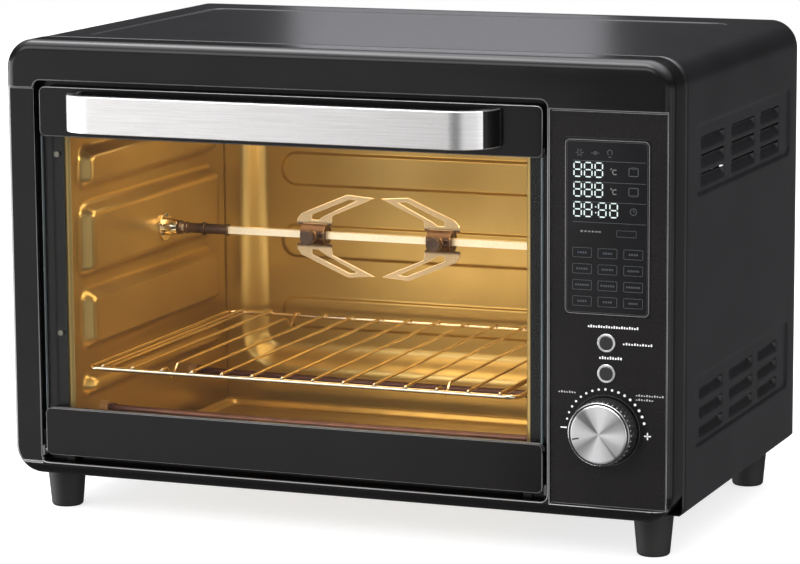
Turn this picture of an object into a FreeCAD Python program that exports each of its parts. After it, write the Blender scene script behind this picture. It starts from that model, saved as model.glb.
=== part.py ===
import FreeCAD, Part
import math
import os
from types import SimpleNamespace

import Sketcher

# Countertop oven-style air fryer with a drop-down glass door, rotisserie, rack and control panel.
# Row frame: +X to the user's right, +Y towards the back, +Z up, origin under the middle at floor level.
# Depths are counted backwards from the flat face of the front frame.

doc = FreeCAD.newDocument("air_fryer")

# ---------------------------------------------------------------- driving dimensions

SIZES = [
    ("width", 580, "overall width"),
    ("height", 402, "overall height, feet included"),
    ("body_depth", 362, "front frame to the rear edge of the cover"),
    ("front_face", -163, "Y of the front frame's face"),
    ("handle_reach", 36, "how far the handle stands out"),
    ("foot_height", 35, "floor to the underside of the body"),
    ("frame_depth", 32.6, "front frame, front to back"),
    ("corner_radius", 24, "body corners seen from the front"),
    ("edge_radius", 9, "rounding around the front frame"),
    ("cover_step", 1.2, "cover set in from the front frame"),
    ("gauge", 0.8, "sheet steel"),
    ("opening_left", -263.8, "door opening in the front frame"),
    ("opening_right", 186.5, "door opening in the front frame"),
    ("opening_bottom", 46, "door opening in the front frame"),
    ("opening_top", 368.5, "door opening in the front frame"),
    ("door_left", -257.8, "door"),
    ("door_right", 183.2, "door"),
    ("door_bottom", 53, "door"),
    ("door_top", 363.7, "door"),
    ("rail_bottom", 322.7, "lower edge of the door's top rail"),
    ("trim_top", 93, "upper edge of the door's bottom trim"),
    ("glass_gauge", 4, "door glass"),
    ("hinge_height", 55.5, "door hinge axis"),
    ("hinge_depth", 4, "door hinge axis"),
    ("pin_radius", 2, "door hinge pins"),
    ("plate_depth", 12, "front plate behind the door"),
    ("window_left", -242.5, "cooking opening in the front plate"),
    ("window_right", 168.5, "cooking opening in the front plate"),
    ("cavity_left", -238, "inner face of the left wall"),
    ("cavity_right", 164, "inner face of the right wall"),
    ("cavity_bottom", 40, "inner face of the floor"),
    ("cavity_top", 346, "inner face of the roof"),
    ("cavity_back", 326, "depth of the back wall"),
    ("rib_reach", 11, "how far the pressed ribs stand in from a side wall"),
    ("dish_depth", 14, "pressed dish of the back wall"),
    ("panel_left", 188.9, "control panel"),
    ("panel_right", 285.3, "control panel"),
    ("panel_bottom", 45.2, "control panel"),
    ("panel_top", 361.4, "control panel"),
    ("panel_recess", 2.5, "panel face behind the frame's face"),
    ("panel_gauge", 3, "control panel moulding"),
    ("knob_across", 235.2, "knob axis X"),
    ("knob_height", 107.8, "knob axis Z"),
    ("knob_radius", 25.5, "knob rim"),
    ("knob_reach", 16.5, "knob front in front of the frame's face"),
    ("press_travel", 1.2, "travel of the knob and the buttons"),
    ("button_across", 235.5, "button axes X"),
    ("button_radius", 5.4, "button caps"),
    ("lamp_button_height", 177.9, "lamp button axis Z"),
    ("start_button_height", 153.4, "start button axis Z"),
    ("running_gap", 0.08, "radial clearance of parts that turn or slide"),
    ("rack_height", 125, "rack rails"),
    ("rack_front", 20, "depth of the rack's front rail"),
    ("rack_back", 311, "depth of the rack's rear rail"),
    ("rack_inset", 9, "rack side rail in from the wall"),
    ("spit_depth", 172, "spit axis"),
    ("spit_height", 223.5, "spit axis"),
    ("spit_side", 6, "square of the spit rod"),
    ("heater_radius", 3.5, "heater tubes"),
    ("lower_heaters", 82, "height of the lower heater tubes"),
    ("upper_heaters", 325, "height of the upper heater tubes"),
    ("foot_across", 262, "feet from the middle"),
    ("foot_front", 44.3, "depth of the front feet"),
    ("foot_rear", 316.7, "depth of the rear feet"),
    ("fan_radius", 50, "convection fan"),
    ("fan_depth", 172, "depth of the fan axis"),
]


class Dim:
    """A length: its value, and the sheet expression that drives it."""

    def __init__(self, text, value):
        self.text = text
        self.value = value

    def __add__(self, other):
        other = as_dim(other)
        return Dim("(%s + %s)" % (self.text, other.text), self.value + other.value)

    def __sub__(self, other):
        other = as_dim(other)
        return Dim("(%s - %s)" % (self.text, other.text), self.value - other.value)

    def __mul__(self, factor):
        return Dim("(%s * %.9g)" % (self.text, factor), self.value * factor)

    def __truediv__(self, factor):
        return Dim("(%s / %.9g)" % (self.text, factor), self.value / factor)

    def __neg__(self):
        return Dim("(0 - %s)" % self.text, -self.value)

    def __radd__(self, other):
        return as_dim(other) + self

    def __rsub__(self, other):
        return as_dim(other) - self

    __rmul__ = __mul__


def as_dim(item):
    if isinstance(item, Dim):
        return item
    return Dim("(%.9g)" % item, float(item))


def make_sheet():
    """The driving dimensions, one row each: meaning, value, alias."""
    sheet = doc.addObject("Spreadsheet::Sheet", "dims")
    sizes = SimpleNamespace()
    for row, (alias, value, meaning) in enumerate(SIZES, start=1):
        sheet.set("A%d" % row, meaning)
        sheet.set("B%d" % row, str(value))
        sheet.setAlias("B%d" % row, alias)
        setattr(sizes, alias, Dim("dims." + alias, float(value)))
    doc.recompute()
    return sizes


D = make_sheet()
nodes = []


def at(depth):
    """Y of a depth behind the front frame's face."""
    return D.front_face + depth


def bind(obj, prop, item):
    item = as_dim(item)
    obj.setExpression(prop, item.text)


def place(obj, x=0, y=0, z=0, turn=None):
    if turn:
        obj.Placement = FreeCAD.Placement(FreeCAD.Vector(), FreeCAD.Rotation(*turn))
    bind(obj, "Placement.Base.x", x)
    bind(obj, "Placement.Base.y", y)
    bind(obj, "Placement.Base.z", z)


def node(obj, label):
    """Name a finished sub-part; the label names its file."""
    obj.Label = label
    nodes.append(obj)
    return obj


# ---------------------------------------------------------------- primitives and booleans

AXIS_TURN = {
    "x": (FreeCAD.Vector(0, 1, 0), 90),
    "y": (FreeCAD.Vector(1, 0, 0), -90),
    "z": None,
}


def box(name, xs, ys, zs):
    obj = doc.addObject("Part::Box", name)
    bind(obj, "Length", as_dim(xs[1]) - xs[0])
    bind(obj, "Width", as_dim(ys[1]) - ys[0])
    bind(obj, "Height", as_dim(zs[1]) - zs[0])
    place(obj, xs[0], ys[0], zs[0])
    return obj


def rod(name, axis, radius, start, end, centre):
    """A cylinder along one axis; centre holds the other two coordinates, in X, Y, Z order."""
    obj = doc.addObject("Part::Cylinder", name)
    bind(obj, "Radius", radius)
    bind(obj, "Height", as_dim(end) - start)
    spot = list(centre)
    spot.insert("xyz".index(axis), start)
    place(obj, *spot, turn=AXIS_TURN[axis])
    return obj


def frustum(name, toward, base, tip, base_rect, tip_rect):
    """A four-sided tapered block along +-X or +-Y, from base to tip. Rects are (low, high) pairs."""
    obj = doc.addObject("Part::Wedge", name)
    (low, high), (bottom, top) = base_rect
    (tip_low, tip_high), (tip_bottom, tip_top) = tip_rect
    if toward == "+x":
        turn = (FreeCAD.Vector(0, 0, 1), -90)
        low, high, tip_low, tip_high = -as_dim(high), -as_dim(low), -as_dim(tip_high), -as_dim(tip_low)
    elif toward == "-x":
        turn = (FreeCAD.Vector(0, 0, 1), 90)
        base, tip = -as_dim(base), -as_dim(tip)
    elif toward == "-y":
        turn = (FreeCAD.Vector(0, 0, 1), 180)
        base, tip = -as_dim(base), -as_dim(tip)
        low, high, tip_low, tip_high = -as_dim(high), -as_dim(low), -as_dim(tip_high), -as_dim(tip_low)
    else:
        turn = None
    # The maxima are bound first: a wedge refuses a minimum above its present maximum.
    settings = [("Ymax", tip), ("Ymin", base), ("Xmax", high), ("Xmin", low), ("X2max", tip_high),
                ("X2min", tip_low), ("Zmax", top), ("Zmin", bottom), ("Z2max", tip_top),
                ("Z2min", tip_bottom)]
    for prop, item in settings:
        setattr(obj, prop, as_dim(item).value)
        bind(obj, prop, item)
    if turn:
        obj.Placement = FreeCAD.Placement(FreeCAD.Vector(), FreeCAD.Rotation(*turn))
    return obj


def group(name, members):
    obj = doc.addObject("Part::Compound", name)
    obj.Links = members
    return obj


def fuse(name, members):
    obj = doc.addObject("Part::MultiFuse", name)
    obj.Shapes = members
    return obj


def cut(name, base, tools):
    if len(tools) > 1:
        tool = group(name + "_tools", tools)
    else:
        tool = tools[0]
    obj = doc.addObject("Part::Cut", name)
    obj.Base = base
    obj.Tool = tool
    return obj


# ---------------------------------------------------------------- bodies and sketches


def new_body(label):
    body = doc.addObject("PartDesign::Body", label)
    return node(body, label)


def origin_plane(body, role):
    for feature in body.Origin.OriginFeatures:
        if feature.Role == role:
            return feature
    raise ValueError(role)


def sketch(body, name, role, offset=0):
    """An empty sketch on an origin plane, moved along the plane's normal."""
    item = body.newObject("Sketcher::SketchObject", name)
    item.AttachmentSupport = [(origin_plane(body, role), "")]
    item.MapMode = "FlatFace"
    bind(item, "AttachmentOffset.Base.z", offset)
    return item


def pin_point(item, geometry, point, x, y):
    """Fix one point of a sketch to bound coordinates."""
    for kind, on_axis, size in (("DistanceX", -2, as_dim(x)), ("DistanceY", -1, as_dim(y))):
        if abs(size.value) < 1e-9:
            item.addConstraint(Sketcher.Constraint("PointOnObject", geometry, point, on_axis))
            continue
        index = item.addConstraint(Sketcher.Constraint(kind, -1, 1, geometry, point, size.value))
        item.setExpression("Constraints[%d]" % index, size.text)


def outline(item, points):
    """A closed outline of straight runs, every corner bound."""
    spots = [FreeCAD.Vector(as_dim(x).value, as_dim(y).value, 0) for x, y in points]
    first = item.GeometryCount
    count = len(points)
    for index in range(count):
        item.addGeometry(Part.LineSegment(spots[index], spots[(index + 1) % count]), False)
    for index in range(count):
        after = first + (index + 1) % count
        item.addConstraint(Sketcher.Constraint("Coincident", first + index, 2, after, 1))
    for index, (x, y) in enumerate(points):
        pin_point(item, first + index, 1, x, y)


def rectangle(item, xs, ys):
    outline(item, [(xs[0], ys[0]), (xs[1], ys[0]), (xs[1], ys[1]), (xs[0], ys[1])])


def rounded_rectangle(item, xs, ys, radius):
    """Four straight sides, every end bound, joined by four quarter arcs of a bound radius."""
    left, right = as_dim(xs[0]), as_dim(xs[1])
    low, high = as_dim(ys[0]), as_dim(ys[1])
    radius = as_dim(radius)
    sides = [((left + radius, low), (right - radius, low)), ((right, low + radius), (right, high - radius)),
             ((right - radius, high), (left + radius, high)), ((left, high - radius), (left, low + radius))]
    centres = [(right - radius, low + radius), (right - radius, high - radius),
               (left + radius, high - radius), (left + radius, low + radius)]
    upright = FreeCAD.Vector(0, 0, 1)
    first = item.GeometryCount
    for side in sides:
        start, end = (FreeCAD.Vector(x.value, y.value, 0) for x, y in side)
        item.addGeometry(Part.LineSegment(start, end), False)
    for index, centre in enumerate(centres):
        spot = FreeCAD.Vector(centre[0].value, centre[1].value, 0)
        start = math.radians(90 * index - 90)
        arc = Part.ArcOfCircle(Part.Circle(spot, upright, radius.value), start, start + math.pi / 2)
        item.addGeometry(arc, False)
    for index, side in enumerate(sides):
        arc = first + 4 + index
        item.addConstraint(Sketcher.Constraint("Coincident", first + index, 2, arc, 1))
        item.addConstraint(Sketcher.Constraint("Coincident", first + (index + 1) % 4, 1, arc, 2))
        pin_point(item, first + index, 1, *side[0])
        pin_point(item, first + index, 2, *side[1])
        constraint = item.addConstraint(Sketcher.Constraint("Radius", arc, radius.value))
        item.setExpression("Constraints[%d]" % constraint, radius.text)


def circle(item, x, y, radius):
    spot = FreeCAD.Vector(as_dim(x).value, as_dim(y).value, 0)
    radius = as_dim(radius)
    index = item.addGeometry(Part.Circle(spot, FreeCAD.Vector(0, 0, 1), radius.value), False)
    pin_point(item, index, 3, x, y)
    constraint = item.addConstraint(Sketcher.Constraint("Radius", index, radius.value))
    item.setExpression("Constraints[%d]" % constraint, radius.text)


def pad(body, item, length, reverse=False):
    feature = body.newObject("PartDesign::Pad", item.Name + "_pad")
    feature.Profile = item
    bind(feature, "Length", length)
    feature.Reversed = reverse
    doc.recompute()
    return feature


def pocket(body, item, length, reverse=False):
    before = body.Shape.Volume
    feature = body.newObject("PartDesign::Pocket", item.Name + "_pocket")
    feature.Profile = item
    bind(feature, "Length", length)
    feature.Reversed = reverse
    doc.recompute()
    if not feature.Shape.Volume < before - 1e-3:
        raise ValueError(feature.Name + " cuts nothing")
    return feature


def revolve(body, item, axis):
    feature = body.newObject("PartDesign::Revolution", item.Name + "_turned")
    feature.Profile = item
    feature.ReferenceAxis = (item, [axis])
    feature.Angle = 360
    doc.recompute()
    return feature


def round_edges(body, base, radius, chosen):
    """A fillet on the edges of base for which chosen(edge) is true."""
    names = ["Edge%d" % (i + 1) for i, edge in enumerate(base.Shape.Edges) if chosen(edge)]
    if not names:
        raise ValueError("no edges to round on " + base.Name)
    feature = body.newObject("PartDesign::Fillet", base.Name + "_round")
    feature.Base = (base, names)
    bind(feature, "Radius", radius)
    doc.recompute()
    if "Invalid" in feature.State:
        raise ValueError(feature.Name + " can't be rounded")
    return feature


def runs_along(edge, axis):
    """True for a straight edge along an axis, given as 'x', 'y' or 'z'."""
    spans = {"x": edge.BoundBox.XLength, "y": edge.BoundBox.YLength, "z": edge.BoundBox.ZLength}
    along = spans.pop(axis)
    return along > 1e-4 and max(spans.values()) < 1e-4


def sheet_front(body, name, y):
    """A sketch that faces the front at a given Y; its axes are X and Z."""
    return sketch(body, name, "XZ_Plane", -as_dim(y))


# ---------------------------------------------------------------- shell of the appliance


def make_front_frame():
    body = new_body("front_frame")
    half = D.width / 2
    item = sheet_front(body, "frame_outline", at(0))
    rectangle(item, (-half, half), (D.foot_height, D.height))
    block = pad(body, item, D.frame_depth, True)
    block = round_edges(body, block, D.corner_radius, lambda edge: runs_along(edge, "y"))
    face_y = at(0).value
    block = round_edges(body, block, D.edge_radius,
                        lambda edge: edge.BoundBox.YMax < face_y + 1e-3)
    wall = 2.6
    front_wall = 6
    item = sheet_front(body, "frame_hollow", at(front_wall))
    rounded_rectangle(item, (wall - half, half - wall), (D.foot_height + wall, D.height - wall),
                      D.corner_radius - wall)
    pocket(body, item, D.frame_depth)
    item = sheet_front(body, "frame_door_opening", at(-1))
    rounded_rectangle(item, (D.opening_left, D.opening_right), (D.opening_bottom, D.opening_top), 6)
    pocket(body, item, D.frame_depth)
    item = sheet_front(body, "frame_pillar_step", at(-1))
    rectangle(item, (-half - 1, D.opening_left + 1), (D.panel_bottom, D.panel_top + 0.6))
    pocket(body, item, 1 + D.panel_recess)
    item = sheet_front(body, "frame_panel_seat", at(-1))
    rectangle(item, (D.panel_left, D.panel_right), (D.panel_bottom, D.panel_top))
    pocket(body, item, 1 + D.panel_recess + D.panel_gauge)
    item = sheet_front(body, "frame_panel_opening", at(-1))
    inset = 3
    rectangle(item, (D.panel_left + inset, D.panel_right - inset),
              (D.panel_bottom + inset, D.panel_top - inset))
    pocket(body, item, D.frame_depth)


LOUVRE_COLUMNS = [(80, 148), (166, 237), (252, 312)]
LOUVRE_ROWS = [332, 317, 302, 129, 113, 97]
LOUVRE_HEIGHT = 4
REAR_SCREW_XS = (-275, -90, 90, 275)
REAR_SCREW_ZS = (50, 388)
FRONT_SCREW_XS = (-248.2,)
FRONT_SCREW_ZS = (155, 306)
SCREW_HOLE = 1.7
FLANGE_REACH = 42


def make_cabinet_cover():
    """One sheet wrapped over the sides and top, its lower edges turned in under the body."""
    body = doc.addObject("PartDesign::Body", "cover_sheet")
    side = D.width / 2 - D.cover_step
    top = D.height - D.cover_step
    low = D.foot_height + D.cover_step
    lip = side - FLANGE_REACH
    item = sheet_front(body, "cover_profile", at(D.frame_depth))
    outline(item, [
        (-lip, low), (-side, low), (-side, top), (side, top), (side, low), (lip, low),
        (lip, low + D.gauge), (side - D.gauge, low + D.gauge), (side - D.gauge, top - D.gauge),
        (D.gauge - side, top - D.gauge), (D.gauge - side, low + D.gauge), (-lip, low + D.gauge)])
    sheet = pad(body, item, D.body_depth - D.frame_depth, True)
    radius = D.corner_radius - D.cover_step
    outer = side.value
    inner = outer - D.gauge.value
    sheet = round_edges(body, sheet, radius,
                        lambda edge: runs_along(edge, "y") and abs(abs(edge.BoundBox.XMin) - outer) < 1e-3)
    round_edges(body, sheet, radius - D.gauge,
                lambda edge: runs_along(edge, "y") and abs(abs(edge.BoundBox.XMin) - inner) < 1e-3)
    slots = []
    for row, height in enumerate(LOUVRE_ROWS):
        for column, (near, far) in enumerate(LOUVRE_COLUMNS):
            name = "louvre_%d_%d" % (row, column)
            slots.append(box(name, (-D.width / 2, D.width / 2), (at(near), at(far)),
                             (height - LOUVRE_HEIGHT / 2, height + LOUVRE_HEIGHT / 2)))
    slots += foot_screw_holes("cover")
    node(cut("cover_with_slots", body, slots), "cabinet_cover")


def foot_spots():
    """Name, X and depth of each foot."""
    return [("front_left", -D.foot_across, D.foot_front), ("front_right", D.foot_across, D.foot_front),
            ("rear_left", -D.foot_across, D.foot_rear), ("rear_right", D.foot_across, D.foot_rear)]


def foot_screw_holes(owner):
    return [rod("%s_hole_%s" % (owner, name), "z", SCREW_HOLE, 5, 60, (x, at(depth)))
            for name, x, depth in foot_spots()]


def make_base_pan():
    low = D.foot_height + D.cover_step + D.gauge
    edge = D.width / 2 - D.cover_step - D.corner_radius
    pan = box("pan_sheet", (-edge, edge), (at(D.frame_depth + 2), at(354)), (low, low + D.gauge))
    vents = []
    vent_width = 3.6
    vent_length = 26
    for row in range(4):
        for column in range(8):
            x = 196 + 8 * column
            y = 110 + 40 * row
            vents.append(box("pan_vent_%d_%d" % (row, column), (x, x + vent_width),
                             (at(y), at(y + vent_length)), (30, 60)))
    node(cut("pan_with_holes", pan, vents + foot_screw_holes("pan")), "base_pan")


GLAND_SPOT = (228, 72)


def make_back_panel():
    """Rear sheet, set a little inside the cover's rear edge."""
    body = new_body("back_panel")
    side = D.width / 2 - D.cover_step - D.gauge - 0.4
    low = D.foot_height + D.cover_step + D.gauge * 2 + 0.4
    top = D.height - D.cover_step - D.gauge - 0.4
    item = sheet_front(body, "back_outline", at(356))
    rounded_rectangle(item, (-side, side), (low, top), D.corner_radius - 3)
    pad(body, item, D.gauge, True)
    item = sheet_front(body, "back_holes", at(355))
    circle(item, GLAND_SPOT[0], GLAND_SPOT[1], 7)
    for x in REAR_SCREW_XS:
        for z in REAR_SCREW_ZS:
            circle(item, x, z, SCREW_HOLE)
    for row in range(6):
        for column in range(3):
            x = 196 + 26 * column
            z = 200 + 14 * row
            rectangle(item, (x, x + 20), (z, z + 4))
    pocket(body, item, 3)


def make_front_plate():
    """Black plate behind the door, with the cooking opening."""
    body = new_body("cavity_front_plate")
    item = sheet_front(body, "plate_outline", at(D.plate_depth))
    rounded_rectangle(item, (-286, 187), (38, 398), D.corner_radius - 2)
    pad(body, item, D.gauge, True)
    item = sheet_front(body, "plate_holes", at(D.plate_depth - 1))
    rectangle(item, (D.window_left, D.window_right), (D.cavity_bottom, D.cavity_top))
    for x in FRONT_SCREW_XS:
        for z in FRONT_SCREW_ZS:
            circle(item, x, z, SCREW_HOLE)
    pocket(body, item, 3)


# ---------------------------------------------------------------- cooking cavity

RIBS = [(96, 118), (137, 189), (198, 262), (273, 310)]
RIB_FRONT = 28
RIB_REAR = 296
RIB_SLOPE = 0.7


def make_side_wall(label, face, inward):
    """A pressed side wall: flat sheet, four ribs standing into the cavity, and a front flange."""
    start = D.plate_depth + D.gauge
    if inward > 0:
        toward = "+x"
        sheet_xs = (face - D.gauge, face)
        flange_xs = (face - 8, face)
        rib_tip = face + D.rib_reach
        back_of_sheet = face - D.gauge
    else:
        toward = "-x"
        sheet_xs = (face, face + D.gauge)
        flange_xs = (face, face + 8)
        rib_tip = face - D.rib_reach
        back_of_sheet = face + D.gauge
    zs = (D.cavity_bottom, D.cavity_top)
    solids = [box(label + "_sheet", sheet_xs, (at(start), at(D.cavity_back)), zs),
              box(label + "_flange", flange_xs, (at(start), at(start + D.gauge)), zs)]
    hollows = []
    bevel = D.rib_reach * RIB_SLOPE
    skin = 0.7
    hollow_tip = rib_tip - D.gauge * inward
    for index, (low, high) in enumerate(RIBS):
        front, rear = at(RIB_FRONT), at(RIB_REAR)
        solids.append(frustum("%s_rib_%d" % (label, index), toward, face, rib_tip,
                              ((front, rear), (low, high)),
                              ((front + bevel, rear - bevel), (low + bevel, high - bevel))))
        hollows.append(frustum("%s_rib_back_%d" % (label, index), toward, back_of_sheet, hollow_tip,
                               ((front + skin, rear - skin), (low + skin, high - skin)),
                               ((front + skin + bevel, rear - skin - bevel),
                                (low + skin + bevel, high - skin - bevel))))
    return fuse(label + "_pressing", solids), hollows


def make_left_wall():
    sheet, hollows = make_side_wall("left_wall", D.cavity_left, 1)
    hollows.append(rod("left_wall_journal_hole", "x", 7, D.cavity_left - 5, D.cavity_left + 20,
                       (at(D.spit_depth), D.spit_height)))
    node(cut("left_wall_open", sheet, hollows), "cavity_left_wall")


LAMP_DEPTH = 60
LAMP_HEIGHT = 328
PROBE_DEPTH = 300


def make_right_wall():
    sheet, hollows = make_side_wall("right_wall", D.cavity_right, -1)
    hollows.append(rod("right_wall_drive_hole", "x", 4 + D.running_gap, D.cavity_right - 20,
                       D.cavity_right + 5, (at(D.spit_depth), D.spit_height)))
    hollows.append(rod("right_wall_lamp_hole", "x", 12, D.cavity_right - 5, D.cavity_right + 5,
                       (at(LAMP_DEPTH), LAMP_HEIGHT)))
    hollows.append(rod("right_wall_probe_hole", "x", 2.1, D.cavity_right - 5, D.cavity_right + 5,
                       (at(PROBE_DEPTH), D.upper_heaters)))
    node(cut("right_wall_open", sheet, hollows), "cavity_right_wall")


def make_roof():
    ys = (at(D.plate_depth + D.gauge), at(D.cavity_back))
    edge = 5
    sheet = box("roof_sheet", (D.cavity_left - edge, D.cavity_right + edge), ys,
                (D.cavity_top, D.cavity_top + D.gauge))
    middle = (D.cavity_left + D.cavity_right) / 2
    hole = rod("roof_fan_hole", "z", D.fan_radius - 2, D.cavity_top - 5, D.cavity_top + 5,
               (middle, at(D.fan_depth)))
    node(cut("roof_open", sheet, [hole]), "cavity_roof")


def make_floor():
    ys = (at(D.plate_depth + D.gauge), at(D.cavity_back))
    edge = 5
    node(box("floor_sheet", (D.cavity_left - edge, D.cavity_right + edge), ys,
             (D.cavity_bottom - D.gauge, D.cavity_bottom)), "cavity_floor")


DISH_EDGE = 14
DISH_BOTTOM = 70
DISH_TOP = 330
BEADS = [(110, 137), (175, 204), (241, 270)]


def make_back_wall():
    """A rear sheet with a pressed dish and three long beads in the dish floor."""
    face = at(D.cavity_back)
    xs = (D.cavity_left - 5, D.cavity_right + 5)
    zs = (D.cavity_bottom - D.gauge, D.cavity_top + D.gauge)
    sheet = box("back_wall_sheet", xs, (face, face + D.gauge), zs)
    slope = 26
    skin = 0.8
    outer = ((D.cavity_left + DISH_EDGE, D.cavity_right - DISH_EDGE), (DISH_BOTTOM, DISH_TOP))
    inner = tuple((low + slope, high - slope) for low, high in outer)
    wider = tuple((low - skin, high + skin) for low, high in outer)
    wider_inner = tuple((low - skin, high + skin) for low, high in inner)
    bottom = face + D.dish_depth
    boss = frustum("back_wall_boss", "+y", face, bottom + D.gauge, wider, wider_inner)
    recess = frustum("back_wall_recess", "+y", face - 0.001, bottom, outer, inner)
    shell = cut("back_wall_dish", fuse("back_wall_pressing", [sheet, boss]), [recess])
    beads = []
    for index, (low, high) in enumerate(BEADS):
        beads.append(box("back_wall_bead_%d" % index, (D.cavity_left + 52, D.cavity_right - 52),
                         (bottom - 2, bottom + 0.1), (low, high)))
    node(fuse("back_wall_beaded", [shell] + beads), "cavity_back_wall")


def make_heaters():
    """Four tubes across the cavity, each end held by an insulator on the side wall."""
    spots = [("lower_front", 65, D.lower_heaters), ("lower_rear", 245, D.lower_heaters),
             ("upper_front", 95, D.upper_heaters), ("upper_rear", 249, D.upper_heaters)]
    sleeves = []
    length = 7
    for name, depth, z in spots:
        centre = (at(depth), z)
        node(rod("tube_" + name, "x", D.heater_radius, D.cavity_left + 1, D.cavity_right - 1, centre),
             "heater_" + name)
        ends = [("left", D.cavity_left, D.cavity_left + length),
                ("right", D.cavity_right - length, D.cavity_right)]
        for side, start, end in ends:
            label = "sleeve_%s_%s" % (name, side)
            ring = rod(label, "x", 6, start, end, centre)
            hole = rod(label + "_bore", "x", D.heater_radius, start - 1, end + 1, centre)
            sleeves.append(cut(label + "_ring", ring, [hole]))
    node(group("sleeves", sleeves), "heater_insulators")


def rack_wire_spots():
    """X of each cross wire, evenly spread between the side rails."""
    count = 14
    left = D.cavity_left + D.rack_inset
    span = D.cavity_right - D.rack_inset - left
    return [left + span * ((index + 0.55) / (count + 0.1)) for index in range(count)]


def make_wire_rack():
    left = D.cavity_left + D.rack_inset
    right = D.cavity_right - D.rack_inset
    front = at(D.rack_front)
    back = at(D.rack_back)
    rail = 2
    wire = 1.2
    lift = 2.6
    members = [
        rod("rack_rail_left", "y", rail, front, back, (left, D.rack_height)),
        rod("rack_rail_right", "y", rail, front, back, (right, D.rack_height)),
        rod("rack_rail_front", "x", rail, left, right, (front, D.rack_height)),
        rod("rack_rail_back", "x", rail, left, right, (back, D.rack_height))]
    for index, x in enumerate(rack_wire_spots()):
        members.append(rod("rack_wire_%d" % index, "y", wire, front - 1, back + 1, (x, D.rack_height + lift)))
    node(fuse("rack_grid", members), "wire_rack")


def make_crumb_tray():
    gap = 1
    xs = (D.cavity_left + 11, D.cavity_right - 11)
    ys = (at(15), at(303))
    low = D.cavity_bottom + 0.3
    rim = 7
    outer = box("tray_block", xs, ys, (low, low + rim))
    inner = box("tray_hollow", (xs[0] + gap, xs[1] - gap), (ys[0] + gap, ys[1] - gap),
                (low + gap, low + rim + 1))
    node(cut("tray_shell", outer, [inner]), "crumb_tray")


def make_temperature_probe():
    centre = (at(PROBE_DEPTH), D.upper_heaters)
    stem = rod("probe_stem", "x", 2, D.cavity_right - 55, D.cavity_right + 14, centre)
    collar = rod("probe_collar", "x", 5, D.cavity_right + D.gauge, D.cavity_right + 5, centre)
    node(fuse("probe", [stem, collar]), "temperature_probe")


def make_lamp():
    centre = (at(LAMP_DEPTH), LAMP_HEIGHT)
    wall = D.cavity_right
    dome = rod("lamp_dome", "x", 14, wall - 9, wall, centre)
    dome_hollow = rod("lamp_dome_hollow", "x", 12, wall - 7, wall + 1, centre)
    node(cut("lamp_dome_shell", dome, [dome_hollow]), "lamp_cover")
    bulb = rod("bulb_glass", "x", 5, wall - 5, wall + 14, centre)
    node(bulb, "lamp_bulb")
    case = rod("lamp_case", "x", 15, wall + D.gauge, wall + 24, centre)
    well = rod("lamp_well", "x", 11, wall, wall + 10, centre)
    socket = rod("lamp_socket_hole", "x", 5, wall, wall + 14, centre)
    node(cut("lamp_case_open", case, [fuse("lamp_wells", [well, socket])]), "lamp_holder")


# ---------------------------------------------------------------- rotisserie


def make_spit():
    axis_y = at(D.spit_depth)
    half = D.spit_side / 2
    start = D.cavity_left + 54
    bar = box("spit_bar", (start, D.cavity_right - D.rib_reach - 2.5), (axis_y - half, axis_y + half),
              (D.spit_height - half, D.spit_height + half))
    centre = (axis_y, D.spit_height)
    neck = rod("spit_neck", "x", 3.4, D.cavity_left + 36, start, centre)
    groove = rod("spit_groove", "x", 2, D.cavity_left + 32, D.cavity_left + 36, centre)
    journal = rod("spit_journal", "x", 2.95, D.cavity_left + 14, D.cavity_left + 32, centre)
    node(fuse("spit_pieces", [bar, neck, groove, journal]), "spit_rod")


def make_spit_bearing():
    """Turned cup on the left wall; its bore takes the round end of the spit."""
    body = new_body("spit_bearing")
    item = sketch(body, "bearing_profile", "XY_Plane")
    bore = 2.95 + D.running_gap
    outline(item, [(11, bore), (25, bore), (25, 6), (20, 7.5), (13, 7.5), (13, 12.5), (11, 12.5)])
    revolve(body, item, "H_Axis")
    place(body, D.cavity_left, at(D.spit_depth), D.spit_height)


BEARING_SCREW_CIRCLE = 10.2


def make_bearing_screws():
    """Three small pan heads on the bearing's flange."""
    screws = []
    for index in range(3):
        angle = math.radians(90 + 120 * index)
        centre = (at(D.spit_depth) + BEARING_SCREW_CIRCLE * math.cos(angle),
                  D.spit_height + BEARING_SCREW_CIRCLE * math.sin(angle))
        screws.append(rod("bearing_screw_%d" % index, "x", 1.6, D.cavity_left + 13, D.cavity_left + 14.4,
                          centre))
    node(group("bearing_screw_group", screws), "bearing_screws")


def make_drive_socket():
    """Socket on the right wall that takes the square end of the spit, with its motor shaft."""
    centre = (at(D.spit_depth), D.spit_height)
    wall = D.cavity_right
    cup = rod("socket_cup", "x", 8.5, wall - D.rib_reach - 14, wall - D.rib_reach - 0.3, centre)
    stem = rod("socket_stem", "x", 4, wall - D.rib_reach - 2, wall + 3, centre)
    half = D.spit_side / 2 + 0.1
    hole = box("socket_square", (wall - 40, wall - D.rib_reach - 2.3),
               (centre[0] - half, centre[0] + half), (centre[1] - half, centre[1] + half))
    node(cut("socket_open", fuse("socket_solid", [cup, stem]), [hole]), "drive_socket")


def make_rotisserie_motor():
    y = at(D.spit_depth)
    z = D.spit_height
    wall = D.cavity_right
    case = rod("motor_case", "x", 25, wall + 6, wall + 22, (y, z))
    ears = box("motor_ears", (wall + 6, wall + 7.5), (y - 32, y + 32), (z - 6, z + 6))
    gearbox = box("motor_gearbox", (wall + 3.4, wall + 6), (y - 14, y + 14), (z - 14, z + 14))
    node(fuse("motor_solid", [case, ears, gearbox]), "rotisserie_motor")


FORK_HUBS = (-83.4, 32.2)


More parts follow.
